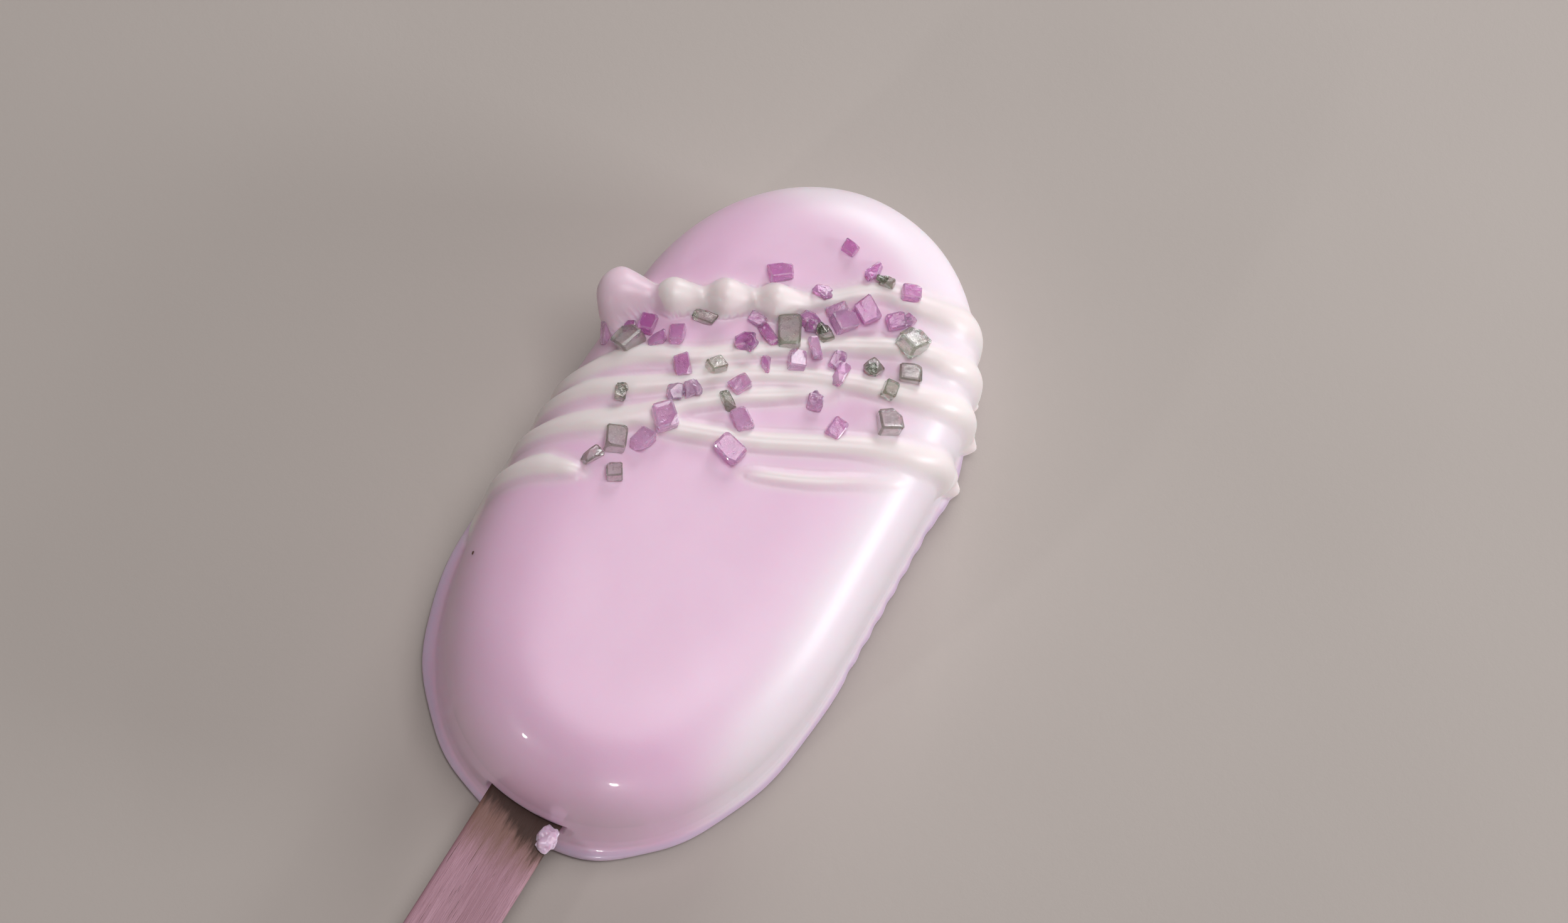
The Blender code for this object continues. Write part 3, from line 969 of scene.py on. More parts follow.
@dataclass(frozen=True)
class Drizzle:
    """The strands of drizzle, the row of beads and the drips, as chains laid on the body."""

    form: BodyForm
    half_for_width: float = 0.42
    rise_for_width: float = 0.29
    most_rise: float = 0.92
    tip: float = 0.25
    taper: float = 1.3
    step: float = 0.35
    least_pieces: int = 8
    foot_clearance: float = 2.2
    row_turn: float = 28.0
    lobe_half: float = 0.1
    droplet_run: float = 0.05
    strands: dict[str, tuple] = field(default_factory=lambda: {
        "bead_row": (
            (-21, 15.2, 3.0), (-16.6, 15.9, 3.2), (-11.3, 18.9, 3.2), (-5.9, 21.9, 3.2), (-3, 23.8, 3.0),
            (0, 26.3, 3.0), (3.7, 29.7, 3.2), (6.9, 30.9, 3.8), (10.1, 31.6, 4.4), (14.2, 33.2, 5.0),
            (17.6, 35.2, 5.6), (22, 38, 5.0)),
        "first": (
            (-31, -4, 3.2), (-25, -0.2, 3.6), (-22, 2, 3.6), (-20.4, 3.6, 3.6), (-18.4, 5.6, 3.6),
            (-15.3, 7.9, 3.4), (-10.7, 10.3, 3.2), (-6.4, 13.7, 3.0), (-2.8, 16.6, 3.0), (2.2, 20.4, 3.0),
            (7.5, 23.7, 3.2), (10.9, 25.5, 3.4), (13.9, 26.5, 3.8), (16.5, 27.4, 4.2), (20, 29.6, 4.5),
            (22.6, 32.2, 4.6, 1.1), (26, 34.7, 3.0, 1.2)),
        "second": (
            (-31, -8, 3.4), (-24.3, -3.4, 3.8), (-21.1, -0.9, 3.8), (-19.6, 0.4, 3.6), (-17.2, 1.8, 3.5),
            (-14.5, 3.5, 3.3), (-11.5, 5.7, 3.2), (-8, 8.9, 3.0), (-3.7, 12.1, 3.0), (0.2, 14.6, 3.0),
            (4.4, 16.6, 3.0), (8.7, 18.4, 3.2), (12.4, 19.7, 3.5), (16, 21.2, 3.9), (18.8, 22.6, 4.3),
            (21.1, 24.1, 4.4, 1.1), (25, 27.4, 3.6, 1.6), (29, 29, 2.6, 1.8)),
        "third": (
            (-31, -12, 3.4), (-24.3, -8.4, 3.8), (-20.6, -5.8, 3.9), (-18.4, -4.2, 4.0),
            (-15.7, -2.5, 4.1), (-13.1, -0.4, 3.9), (-10.4, 2.4, 3.2), (-7.7, 5.3, 2.9), (-4.1, 8.3, 2.8),
            (-0.4, 11, 2.6), (3.4, 13.7, 2.3, 0.5), (6.9, 16.1, 2.0, 0.3)),
        "fourth": (
            (-12.1, -0.6, 2.8), (-10, 0.3, 2.9), (-7.5, 1.2, 3.0), (-4.3, 2.5, 3.0), (0.6, 4.7, 3.0),
            (6, 7.7, 3.1), (11.3, 10.8, 3.4), (15.4, 12.9, 3.8), (18.9, 14.6, 4.2),
            (21.9, 16.9, 4.4, 1.1), (24.5, 19.4, 4.2, 1.3), (26.8, 21, 3.6, 1.4), (31, 22, 2.6, 1.5)),
        "lowest": (
            (-31, -18.5, 3.6), (-24.5, -14.6, 4.2), (-19.9, -11.4, 4.3), (-18, -10.7, 4.2),
            (-16.3, -10.2, 3.4), (-14.5, -9.8, 2.2)),
        "thin": (
            (1.7, 0.6, 1.6, 0.4), (5.6, 2.3, 2.0, 0.6), (9.7, 4.4, 2.1, 0.6), (13.5, 6.9, 2.0, 0.5),
            (16.6, 9.1, 1.7, 0.35), (19.1, 11, 1.3, 0.2)),
    })
    beads: tuple[Bead, ...] = (
        Bead(-20.74, 13.6, 3.7, 1.9, 4.6, 1.2, 0.1, 0.45),
        Bead(-16.6, 15.87, 2.5, 0.7, 3.0, 1.3),
        Bead(-11.33, 18.92, 2.45, 0.7, 3.2, 1.3),
        Bead(-5.9, 21.84, 2.35, 0.65, 3.2, 1.2),
    )
    lobes: tuple[tuple[float, ...], ...] = ((-21.3, 11.4, 2.3, 0.8, 0.45),)
    drips: tuple[tuple[tuple, tuple], ...] = (
        ((25.2, 34.6, 1.4, 0.1), (26.3, 34.7, 0.8, 1.25)),
        ((27.6, 28.7, 1.5, 0.5), (29.2, 28.8, 0.8, 1.9)),
        ((29.6, 21.6, 1.4, 0.4), (31.0, 22.0, 0.8, 1.6)))
    droplet: tuple[float, float, float, float] = (-25.5, 11.9, 16.5, 0.8)

    def strand_chain(self, points: tuple) -> Chain:
        """Lay one strand on the body.

        Args:
            points: Plan points, each with the strand's width and, if given, how far it stands proud.

        Returns:
            The strand's chain.
        """
        full = [(*point, min(point[2] * self.rise_for_width, self.most_rise)) if len(point) == 3 else point
                for point in points]
        curve = smooth_curve(full)
        lowest = self.form.wall_draft - (self.form.wall_height - self.foot_clearance)
        curve = curve[self.form.inset_at(curve[:, :2]) > lowest]
        laid = self.form.lay(curve[:, :2])
        run = run_along(np.linalg.norm(np.diff(laid, axis=0), axis=1))
        wanted = np.linspace(0.0, run[-1], max(int(run[-1] / self.step), self.least_pieces))
        even = read_along(wanted, run, curve)
        width = even[:, 2]
        to_end = np.minimum(wanted, run[-1] - wanted) / (width * self.taper)
        share = self.tip + (1 - self.tip) * np.sqrt(1 - (1 - np.clip(to_end, 0, 1)) ** 2)
        half = width * self.half_for_width * share
        proud = even[:, 3] * share
        radii = (proud ** 2 + half ** 2) / (2 * proud)
        middles = self.form.lay(even[:, :2]) + self.form.outward(even[:, :2]) * (proud - radii)[:, None]
        return Chain(middles, radii)

    def run_chain(self, places: list[tuple], ivory: float = 1.0) -> Chain:
        """Make a short chain from given places.

        Args:
            places: Plan x and y, radius, and lift of the middle above the coating.
            ivory: How ivory it is.

        Returns:
            The chain.
        """
        dense = smooth_curve(places, self.least_pieces)
        plan = dense[:, :2]
        middles = self.form.lay(plan) + self.form.outward(plan) * dense[:, 3:4]
        return Chain(middles, dense[:, 2], ivory)

    def bead_chain(self, bead: Bead) -> Chain:
        """Make a bead with its tail up along the row.

        Args:
            bead: The bead.

        Returns:
            Its chain.
        """
        turn = math.radians(self.row_turn)
        ahead = np.array([math.cos(turn), math.sin(turn)]) * bead.tail
        waist = bead.radius * bead.slump + bead.tail_radius * (1 - bead.slump)
        places = [(bead.x, bead.y, bead.radius, bead.lift),
                  (bead.x + ahead[0] / 2, bead.y + ahead[1] / 2, waist, bead.lift * bead.slump),
                  (bead.x + ahead[0], bead.y + ahead[1], bead.tail_radius, 0.0)]
        return self.run_chain(places, bead.ivory)

    def chains(self) -> list[Chain]:
        """Make every run of icing on the body.

        Returns:
            The strands, beads, lobes, drips and the droplet.
        """
        made = [self.strand_chain(points) for points in self.strands.values()]
        made += [self.bead_chain(bead) for bead in self.beads]
        for x, y, radius, lift, ivory in self.lobes:
            ends = [(x + shift, y, radius, lift) for shift in (-self.lobe_half, self.lobe_half)]
            made.append(self.run_chain(ends, ivory))
        made += [self.run_chain(list(drip)) for drip in self.drips]
        place = np.array(self.droplet[:3])
        made.append(Chain(np.array([place, place + self.droplet_run]), np.full(2, self.droplet[3])))
        return made

    def guide(self) -> tuple[Item, int]:
        """Make the wire object that the coating's geometry tree reads.

        Returns:
            The object, whose points carry chain, radius and ivory, and the number of chains.
        """
        chains = self.chains()
        mesh = bpy.data.meshes.new("icing_guide")
        points, edges = [], []
        for chain in chains:
            start = len(points)
            points += (chain.middles * MM).tolist()
            edges += [(index, index + 1) for index in range(start, len(points) - 1)]
        mesh.from_pydata(points, edges, [])
        counts = [len(chain.radii) for chain in chains]
        keep_values(mesh, "chain", "INT", np.repeat(range(len(chains)), counts))
        keep_values(mesh, "radius", "FLOAT", np.concatenate([chain.radii for chain in chains]) * MM)
        keep_values(mesh, "ivory", "FLOAT", np.repeat([chain.ivory for chain in chains], counts))
        return add_object("icing_guide", mesh), len(chains)


@dataclass(frozen=True)
class IcingTree:
    """The geometry tree that draws the skin down on to the body and the icing that lies on it."""

    reach: float = 7.5
    rounds: int = 16
    pace: float = 0.85
    melt: float = 0.9
    skirt: float = 0.7
    foot_hold: Range = (0.1, 1.2)
    pocket_blend: float = 0.25
    pocket_half: Triple = (5.4, 8.0, 1.32)
    pocket_middle: Triple = (0.0, -51.6, 6.05)
    easings: int = 3
    smoothing: int = 6
    last_rounds: int = 5
    last_smoothing: int = 4
    raised_at: float = 0.03
    opaque_at: float = 0.60
    film: float = 0.4
    film_reach: float = 1.5
    # Painted sheen mask: faces turned right and up, towards the side and back lamps, are paled
    bloom_towards: Triple = (0.7, 1.0, 0.0)
    bloom_range: Range = (-0.1, 0.34)

    def build(self) -> Graph:
        """Build the tree.

        Returns:
            The tree's graph. Its inputs are sizes in metres, named on the tree.
        """
        inputs = {"Geometry": ("NodeSocketGeometry", None), "Guide": ("NodeSocketObject", None),
                  "Chain Count": ("NodeSocketInt", 1), "Reach": ("NodeSocketFloat", self.reach * MM),
                  "Rounds": ("NodeSocketInt", self.rounds), "Pace": ("NodeSocketFloat", self.pace),
                  "Melt": ("NodeSocketFloat", self.melt * MM), "Skirt": ("NodeSocketFloat", self.skirt * MM),
                  "Finish": ("NodeSocketMaterial", None)}
        graph, given, wanted = new_group("icing_skin", "GeometryNodeTree", inputs,
                                         {"Geometry": "NodeSocketGeometry"})
        guide = graph.node("GeometryNodeObjectInfo", {"Object": given["Guide"]}).outputs["Geometry"]
        body = given["Geometry"]
        facing = graph.node("GeometryNodeInputNormal").outputs[0]
        kept = graph.store(body, "facing", facing, "FLOAT_VECTOR")
        height = graph.parts(self.position(graph))["Z"]
        kept = graph.store(kept, "free", graph.rise(height, *[value * MM for value in self.foot_hold]))
        lift = graph.math("MULTIPLY", graph.attribute("free"), given["Reach"])
        lifted = {"Geometry": kept, "Offset": graph.scaled(self.facing(graph), lift)}
        start = graph.node("GeometryNodeSetPosition", lifted).outputs[0]
        skin = self.march(graph, start, given["Rounds"], guide, body, given)
        for _ in range(self.easings):
            skin = self.ease(graph, skin, body, self.smoothing)
            skin = self.march(graph, skin, self.last_rounds, guide, body, given)
        skin = self.ease(graph, skin, body, self.last_smoothing)
        thick = graph.rise(self.body_gap(graph, body), 0.0, self.opaque_at * MM)
        near = graph.rise(graph.attribute("gap"), self.film_reach * MM, 0.0)
        shown = graph.math("MAXIMUM", thick, graph.math("MULTIPLY", near, self.film))
        ivory = self.nearest_value(graph, guide, "ivory", self.position(graph))
        skin = graph.store(skin, "ivory", graph.math("MULTIPLY", shown, ivory))
        # Painted sheen: a mask of how far the plain body faces the side and back lamps
        towards = graph.measure("DOT_PRODUCT", self.facing(graph), self.bloom_towards)
        skin = graph.store(skin, "bloom", graph.rise(towards, *self.bloom_range))
        skin = graph.node("GeometryNodeSetShadeSmooth", {"Geometry": skin}).outputs[0]
        graph.feed(wanted["Geometry"], graph.dress(skin, given["Finish"]))
        return graph

    def march(self, graph: Graph, skin: Socket, rounds, guide: Socket, body: Socket, given: dict) -> Socket:
        """Draw the skin towards the icing and the body, round after round.

        Args:
            graph: The tree.
            skin: The skin.
            rounds: How often it moves.
            guide: All the chains.
            body: The plain body.
            given: The tree's inputs by name.

        Returns:
            The skin after its moves.
        """
        first, last = graph.repeat(skin, rounds)
        cleared = graph.store(first.outputs["Geometry"], "gap", 1.0)
        inner_first, inner_last = graph.repeat(cleared, given["Chain Count"])
        graph.feed(inner_last.inputs["Geometry"], self.one_chain(graph, guide, inner_first, given["Melt"]))
        gap = graph.math("SMOOTH_MIN", graph.attribute("gap"), self.body_gap(graph, body), given["Skirt"])
        away = graph.math("MULTIPLY", self.pocket_gap(graph), -1.0)
        gap = graph.math("SMOOTH_MAX", gap, away, self.pocket_blend * MM)
        travel = graph.math("MULTIPLY", graph.math("MULTIPLY", gap, graph.attribute("free")), given["Pace"])
        back = graph.scaled(self.facing(graph), graph.math("MULTIPLY", travel, -1.0))
        moved = {"Geometry": inner_last.outputs["Geometry"], "Offset": back}
        graph.feed(last.inputs["Geometry"], graph.node("GeometryNodeSetPosition", moved).outputs[0])
        return last.outputs["Geometry"]

    def ease(self, graph: Graph, skin: Socket, body: Socket, times: int) -> Socket:
        """Space the skin's points evenly where icing stands proud of the body.

        Args:
            graph: The tree.
            skin: The skin.
            body: The plain body.
            times: How often each point moves to the middle of its neighbours.

        Returns:
            The eased skin.
        """
        eased = graph.node("GeometryNodeBlurAttribute", {"Value": self.position(graph), "Iterations": times},
                           data_type="FLOAT_VECTOR").outputs[0]
        raised = graph.math("GREATER_THAN", self.body_gap(graph, body), self.raised_at * MM)
        feeds = {"Geometry": skin, "Position": eased, "Selection": raised}
        return graph.node("GeometryNodeSetPosition", feeds).outputs[0]

    @staticmethod
    def position(graph: Graph) -> Socket:
        """Return where each point is."""
        return graph.node("GeometryNodeInputPosition").outputs[0]

    @staticmethod
    def facing(graph: Graph) -> Socket:
        """Return which way each point of the plain body faced."""
        return graph.attribute("facing", "FLOAT_VECTOR")

    @staticmethod
    def nearest_value(graph: Graph, guide: Socket, name: str, place: Socket) -> Socket:
        """Read a value of the guide's point that is nearest to a place.

        Args:
            graph: The tree.
            guide: The chains to look in.
            name: The value's name.
            place: The place.

        Returns:
            The value.
        """
        nearest = graph.node("GeometryNodeSampleNearest", {"Geometry": guide, "Sample Position": place})
        feeds = {"Geometry": guide, "Value": graph.attribute(name), "Index": nearest.outputs[0]}
        return graph.node("GeometryNodeSampleIndex", feeds).outputs[0]

    def one_chain(self, graph: Graph, guide: Socket, zone: Node, melt: Socket) -> Socket:
        """Bring one chain's distance into the gap, so that neighbours run together.

        Args:
            graph: The tree.
            guide: All the chains.
            zone: The first node of the zone that goes through them.
            melt: How far from each other two chains start to join.

        Returns:
            The geometry with its new gap.
        """
        this_one = graph.node("FunctionNodeCompare", data_type="INT", operation="EQUAL")
        graph.feed(this_one.inputs[2], graph.attribute("chain", "INT"))
        graph.feed(this_one.inputs[3], zone.outputs["Iteration"])
        feeds = {"Geometry": guide, "Selection": this_one.outputs[0]}
        chain = graph.node("GeometryNodeSeparateGeometry", feeds).outputs["Selection"]
        near = graph.node("GeometryNodeProximity", {0: chain}, target_element="EDGES")
        radius = self.nearest_value(graph, chain, "radius", near.outputs["Position"])
        own = graph.math("SUBTRACT", near.outputs["Distance"], radius)
        joined = graph.math("SMOOTH_MIN", graph.attribute("gap"), own, melt)
        return graph.store(zone.outputs["Geometry"], "gap", joined)

    def body_gap(self, graph: Graph, body: Socket) -> Socket:
        """Measure how far each point is outside the plain body.

        Args:
            graph: The tree.
            body: The plain body.

        Returns:
            The distance, less than zero inside it.
        """
        near = graph.node("GeometryNodeProximity", {0: body}, target_element="FACES")
        out = graph.vector("SUBTRACT", self.position(graph), near.outputs["Position"])
        side = graph.math("SIGN", graph.measure("DOT_PRODUCT", out, self.facing(graph)))
        return graph.math("MULTIPLY", near.outputs["Distance"], side)

    def pocket_gap(self, graph: Graph) -> Socket:
        """Measure how far each point is outside the pocket that the stick stands in.

        Args:
            graph: The tree.

        Returns:
            The distance, less than zero inside it.
        """
        middle, half = [tuple(value * MM for value in size)
                        for size in (self.pocket_middle, self.pocket_half)]
        away = graph.vector("ABSOLUTE", graph.vector("SUBTRACT", self.position(graph), middle))
        away = graph.vector("SUBTRACT", away, half)
        outside = graph.measure("LENGTH", graph.vector("MAXIMUM", away, (0.0, 0.0, 0.0)))
        parts = graph.parts(away)
        deepest = graph.math("MAXIMUM", parts["X"], graph.math("MAXIMUM", parts["Y"], parts["Z"]))
        return graph.math("ADD", outside, graph.math("MINIMUM", deepest, 0.0))


@dataclass(frozen=True)
class CoatedCake:
    """The coated body with its drizzle and beads, one closed skin."""

    form: BodyForm
    fine: float = 0.29
    coarse: float = 0.8
    fine_above: float = -24.0
    fine_fade: float = 5.0
    mouth_reach: float = 8.0
    mouth_fade: float = 4.0
    outline_steps: int = 9600
    foot: tuple[Triple, ...] = (
        (-0.1, 0.0, 0.9), (-0.38, 0.1, 0.9), (-0.57, 0.4, 0.9), (-0.6, 0.9, 0.9), (-0.57, 1.35, 0.85),
        (-0.36, 1.75, 0.6), (-0.1, 2.1, 0.25), (0.05, 2.6, 0.04), (0.15, 3.4, 0.0))
    foot_steps: int = 6
    wall_heights: Triple = (4.2, 9.9, 0.4)
    crown_steps: int = 90
    crown_closeness: float = 2.2
    ring_inset: float = 9.0
    ring_step: float = 0.33
    row_share: float = 0.87
    ring_clearance: float = 0.7
    same_place: float = 1e-7
    back_inset: float = 1.0
    back_thinning: int = 9
    rim_fade: float = 0.35
    ripple: float = 0.05
    ripple_from: float = 0.3
    ripple_full: float = 3.0
    waves: tuple[Wave, ...] = (Wave(1.0, 75.0), Wave(0.4, 210.0))

    def spacing(self, plan: np.ndarray) -> np.ndarray:
        """Find how far apart points may be: close where icing or the stick is.

        Args:
            plan: Plan points.

        Returns:
            The distance to the next point, at each.
        """
        below = np.clip((self.fine_above - plan[:, 1]) / self.fine_fade, 0, 1)
        from_mouth = np.hypot(plan[:, 0], plan[:, 1] + self.form.length / 2)
        clear_of_mouth = np.clip((from_mouth - self.mouth_reach) / self.mouth_fade, 0, 1)
        return self.fine + (self.coarse - self.fine) * below * clear_of_mouth

    def rounds(self) -> np.ndarray:
        """Find the places round the outline that every ring uses.

        Returns:
            The places from 0 to 4, spaced as the detail needs.
        """
        dense = np.linspace(0.0, 4.0, self.outline_steps + 1)
        points = self.form.outline(dense[:-1], 0.0)
        gaps = np.linalg.norm(np.roll(points, -1, axis=0) - points, axis=1) / self.spacing(points)
        run = run_along(gaps)
        count = int(run[-1])
        return np.interp(np.arange(count) / count * run[-1], run, dense)

    def levels(self) -> np.ndarray:
        """Find the rings from the back to the front.

        Returns:
            Each ring's inset, height and rim swell, evenly spaced.
        """
        draft = self.form.wall_draft
        wall = [(draft * z / self.form.wall_height, z, 0.0) for z in np.arange(*self.wall_heights)]
        edge = [(draft, self.form.wall_height, 0.0)]
        depth = np.linspace(0.0, 1.0, self.crown_steps)[1:] ** self.crown_closeness
        insets = draft + (self.ring_inset - draft) * depth
        crown = np.column_stack([insets, self.form.crown_height(insets), np.zeros(len(insets))])
        profile = np.vstack([smooth_curve(self.foot, self.foot_steps), wall, edge, crown])
        run = run_along(np.hypot(*np.diff(profile[:, :2], axis=0).T))
        return read_along(np.linspace(0.0, run[-1], int(run[-1] / self.ring_step)), run, profile)

    def inner_points(self, inset: float) -> np.ndarray:
        """Spread plan points inside an outline, close above and open below.

        Args:
            inset: How far in the outline is.

        Returns:
            The points, in rows.
        """
        half = self.form.length / 2
        found = []
        for low, high, gap in ((self.fine_above, half, self.fine), (-half, self.fine_above, self.coarse)):
            for number, y in enumerate(np.arange(low, high, gap * self.row_share)):
                xs = np.arange(-self.form.width / 2, self.form.width / 2, gap) + (number % 2) * gap / 2
                found.append(np.column_stack([xs, np.full(len(xs), y)]))
        plan = np.vstack(found)
        return plan[self.form.inset_at(plan) > inset + self.fine * self.ring_clearance]

    def cap(self, ring: np.ndarray, inner: np.ndarray, ring_start: int, inner_start: int) -> list[list[int]]:
        """Fill a ring with triangles.

        Args:
            ring: Plan points of the ring.
            inner: Plan points inside it.
            ring_start: The number of the ring's first point in the mesh.
            inner_start: The number of the first point inside it.

        Returns:
            The triangles, anticlockwise from above.
        """
        points = [Vector(point) for point in np.vstack([ring, inner]).tolist()]
        result = delaunay_2d_cdt(points, [], [list(range(len(ring)))], 1, self.same_place)
        numbers = [*range(ring_start, ring_start + len(ring)), *range(inner_start, inner_start + len(inner))]
        back = [numbers[origins[0]] for origins in result[3]]
        return [[back[index] for index in face] for face in result[2]]

    def blank(self) -> Item:
        """Make the plain body, before the icing is on it.

        Returns:
            An object with a closed mesh.
        """
        rounds = self.rounds()
        levels = self.levels()
        count = len(rounds)
        rings = [np.column_stack([self.form.outline(rounds, inset, swell), np.full(count, height)])
                 for inset, height, swell in levels]
        end = len(rings) * count
        front = self.inner_points(levels[-1][0])
        back = self.inner_points(self.back_inset)[::self.back_thinning]
        faces = ring_faces(count, len(rings))
        faces += self.cap(rings[-1][:, :2], front, end - count, end)
        faces += [face[::-1] for face in self.cap(rings[0][:, :2], back, 0, end + len(front))]
        crown = self.form.crown_height(self.form.inset_at(front))
        points = np.vstack([*rings, np.column_stack([front, crown]),
                            np.column_stack([back, np.zeros(len(back))])])
        mesh = bpy.data.meshes.new("coating")
        mesh.from_pydata((points * MM).tolist(), [], faces)
        rim = np.zeros(len(points))
        rim[:end] = np.repeat(np.clip(-levels[:, 0] / self.rim_fade, 0, 1), count)
        keep_values(mesh, "rim", "FLOAT", rim)
        bm = bmesh.new()
        bm.from_mesh(mesh)
        bmesh.ops.recalc_face_normals(bm, faces=bm.faces)
        self.make_uneven(bm)
        bm.to_mesh(mesh)
        bm.free()
        return add_object("coating", mesh)

    def make_uneven(self, bm: bmesh.types.BMesh) -> None:
        """Give the front and walls the faint waves of a coating that ran before it set.

        Args:
            bm: The body's mesh.
        """
        for vertex in bm.verts:
            height = vertex.co.z / MM
            if height >= self.ripple_from:
                wave = sum(layer.at(vertex.co) for layer in self.waves)
                share = min(height / self.ripple_full, 1.0)
                vertex.co += vertex.normal * wave * self.ripple * MM * share

    def build(self, drizzle: Drizzle, finish: Material) -> Item:
        """Make the finished piece.

        Args:
            drizzle: What lies on the body.
            finish: The icing's material.

        Returns:
            The coating piece.
        """
        item = self.blank()
        guide, count = drizzle.guide()
        attach_tree(item, IcingTree().build(), {"Guide": guide, "Chain Count": count, "Finish": finish})
        for name in ("facing", "free", "gap"):
            item.data.attributes.remove(item.data.attributes[name])
        scrap([guide])
        return stand_for(item, CadNode.CAKE)


Grain = tuple[float, float, float, float, float, Crystal]


@dataclass(frozen=True)
class SugarTree:
    """The geometry tree that puts a crystal at each grain's place."""

    seed: int = 7

    def build(self) -> Graph:
        """Build the tree.

        Returns:
            The tree's graph, with the crystals' collection, the seed and the finish as inputs.
        """
        inputs = {"Geometry": ("NodeSocketGeometry", None), "Crystals": ("NodeSocketCollection", None),
                  "Seed": ("NodeSocketInt", self.seed), "Finish": ("NodeSocketMaterial", None)}
        graph, given, wanted = new_group("sugar_grains", "GeometryNodeTree", inputs,
                                         {"Geometry": "NodeSocketGeometry"})
        feeds = {"Collection": given["Crystals"], "Separate Children": True, "Reset Children": True}
        shapes = graph.node("GeometryNodeCollectionInfo", feeds).outputs[0]
        chance = graph.node("FunctionNodeRandomValue", {"Seed": given["Seed"]}, data_type="FLOAT").outputs[1]
        points = graph.store(given["Geometry"], "tint", chance)
        turn = graph.attribute("turn", "FLOAT_VECTOR")
        feeds = {"Points": points, "Instance": shapes, "Pick Instance": True,
                 "Instance Index": graph.attribute("shape", "INT"),
                 "Rotation": graph.node("FunctionNodeEulerToRotation", {0: turn}).outputs[0],
                 "Scale": graph.attribute("size", "FLOAT_VECTOR")}
        grains = graph.node("GeometryNodeInstanceOnPoints", feeds).outputs[0]
        graph.feed(wanted["Geometry"], graph.dress(grains, given["Finish"]))
        return graph


@dataclass(frozen=True)
class Cut:
    """How a habit is cut: how crooked its block is, how many corners are off, and how rough it is."""

    crooked: float
    chips: int
    rough: float


CUTS = {Crystal.BLOCK: Cut(0.05, 2, 0.012), Crystal.PLATE: Cut(0.04, 1, 0.012),
        Crystal.SLIVER: Cut(0.10, 3, 0.022), Crystal.LUMP: Cut(0.16, 6, 0.022)}


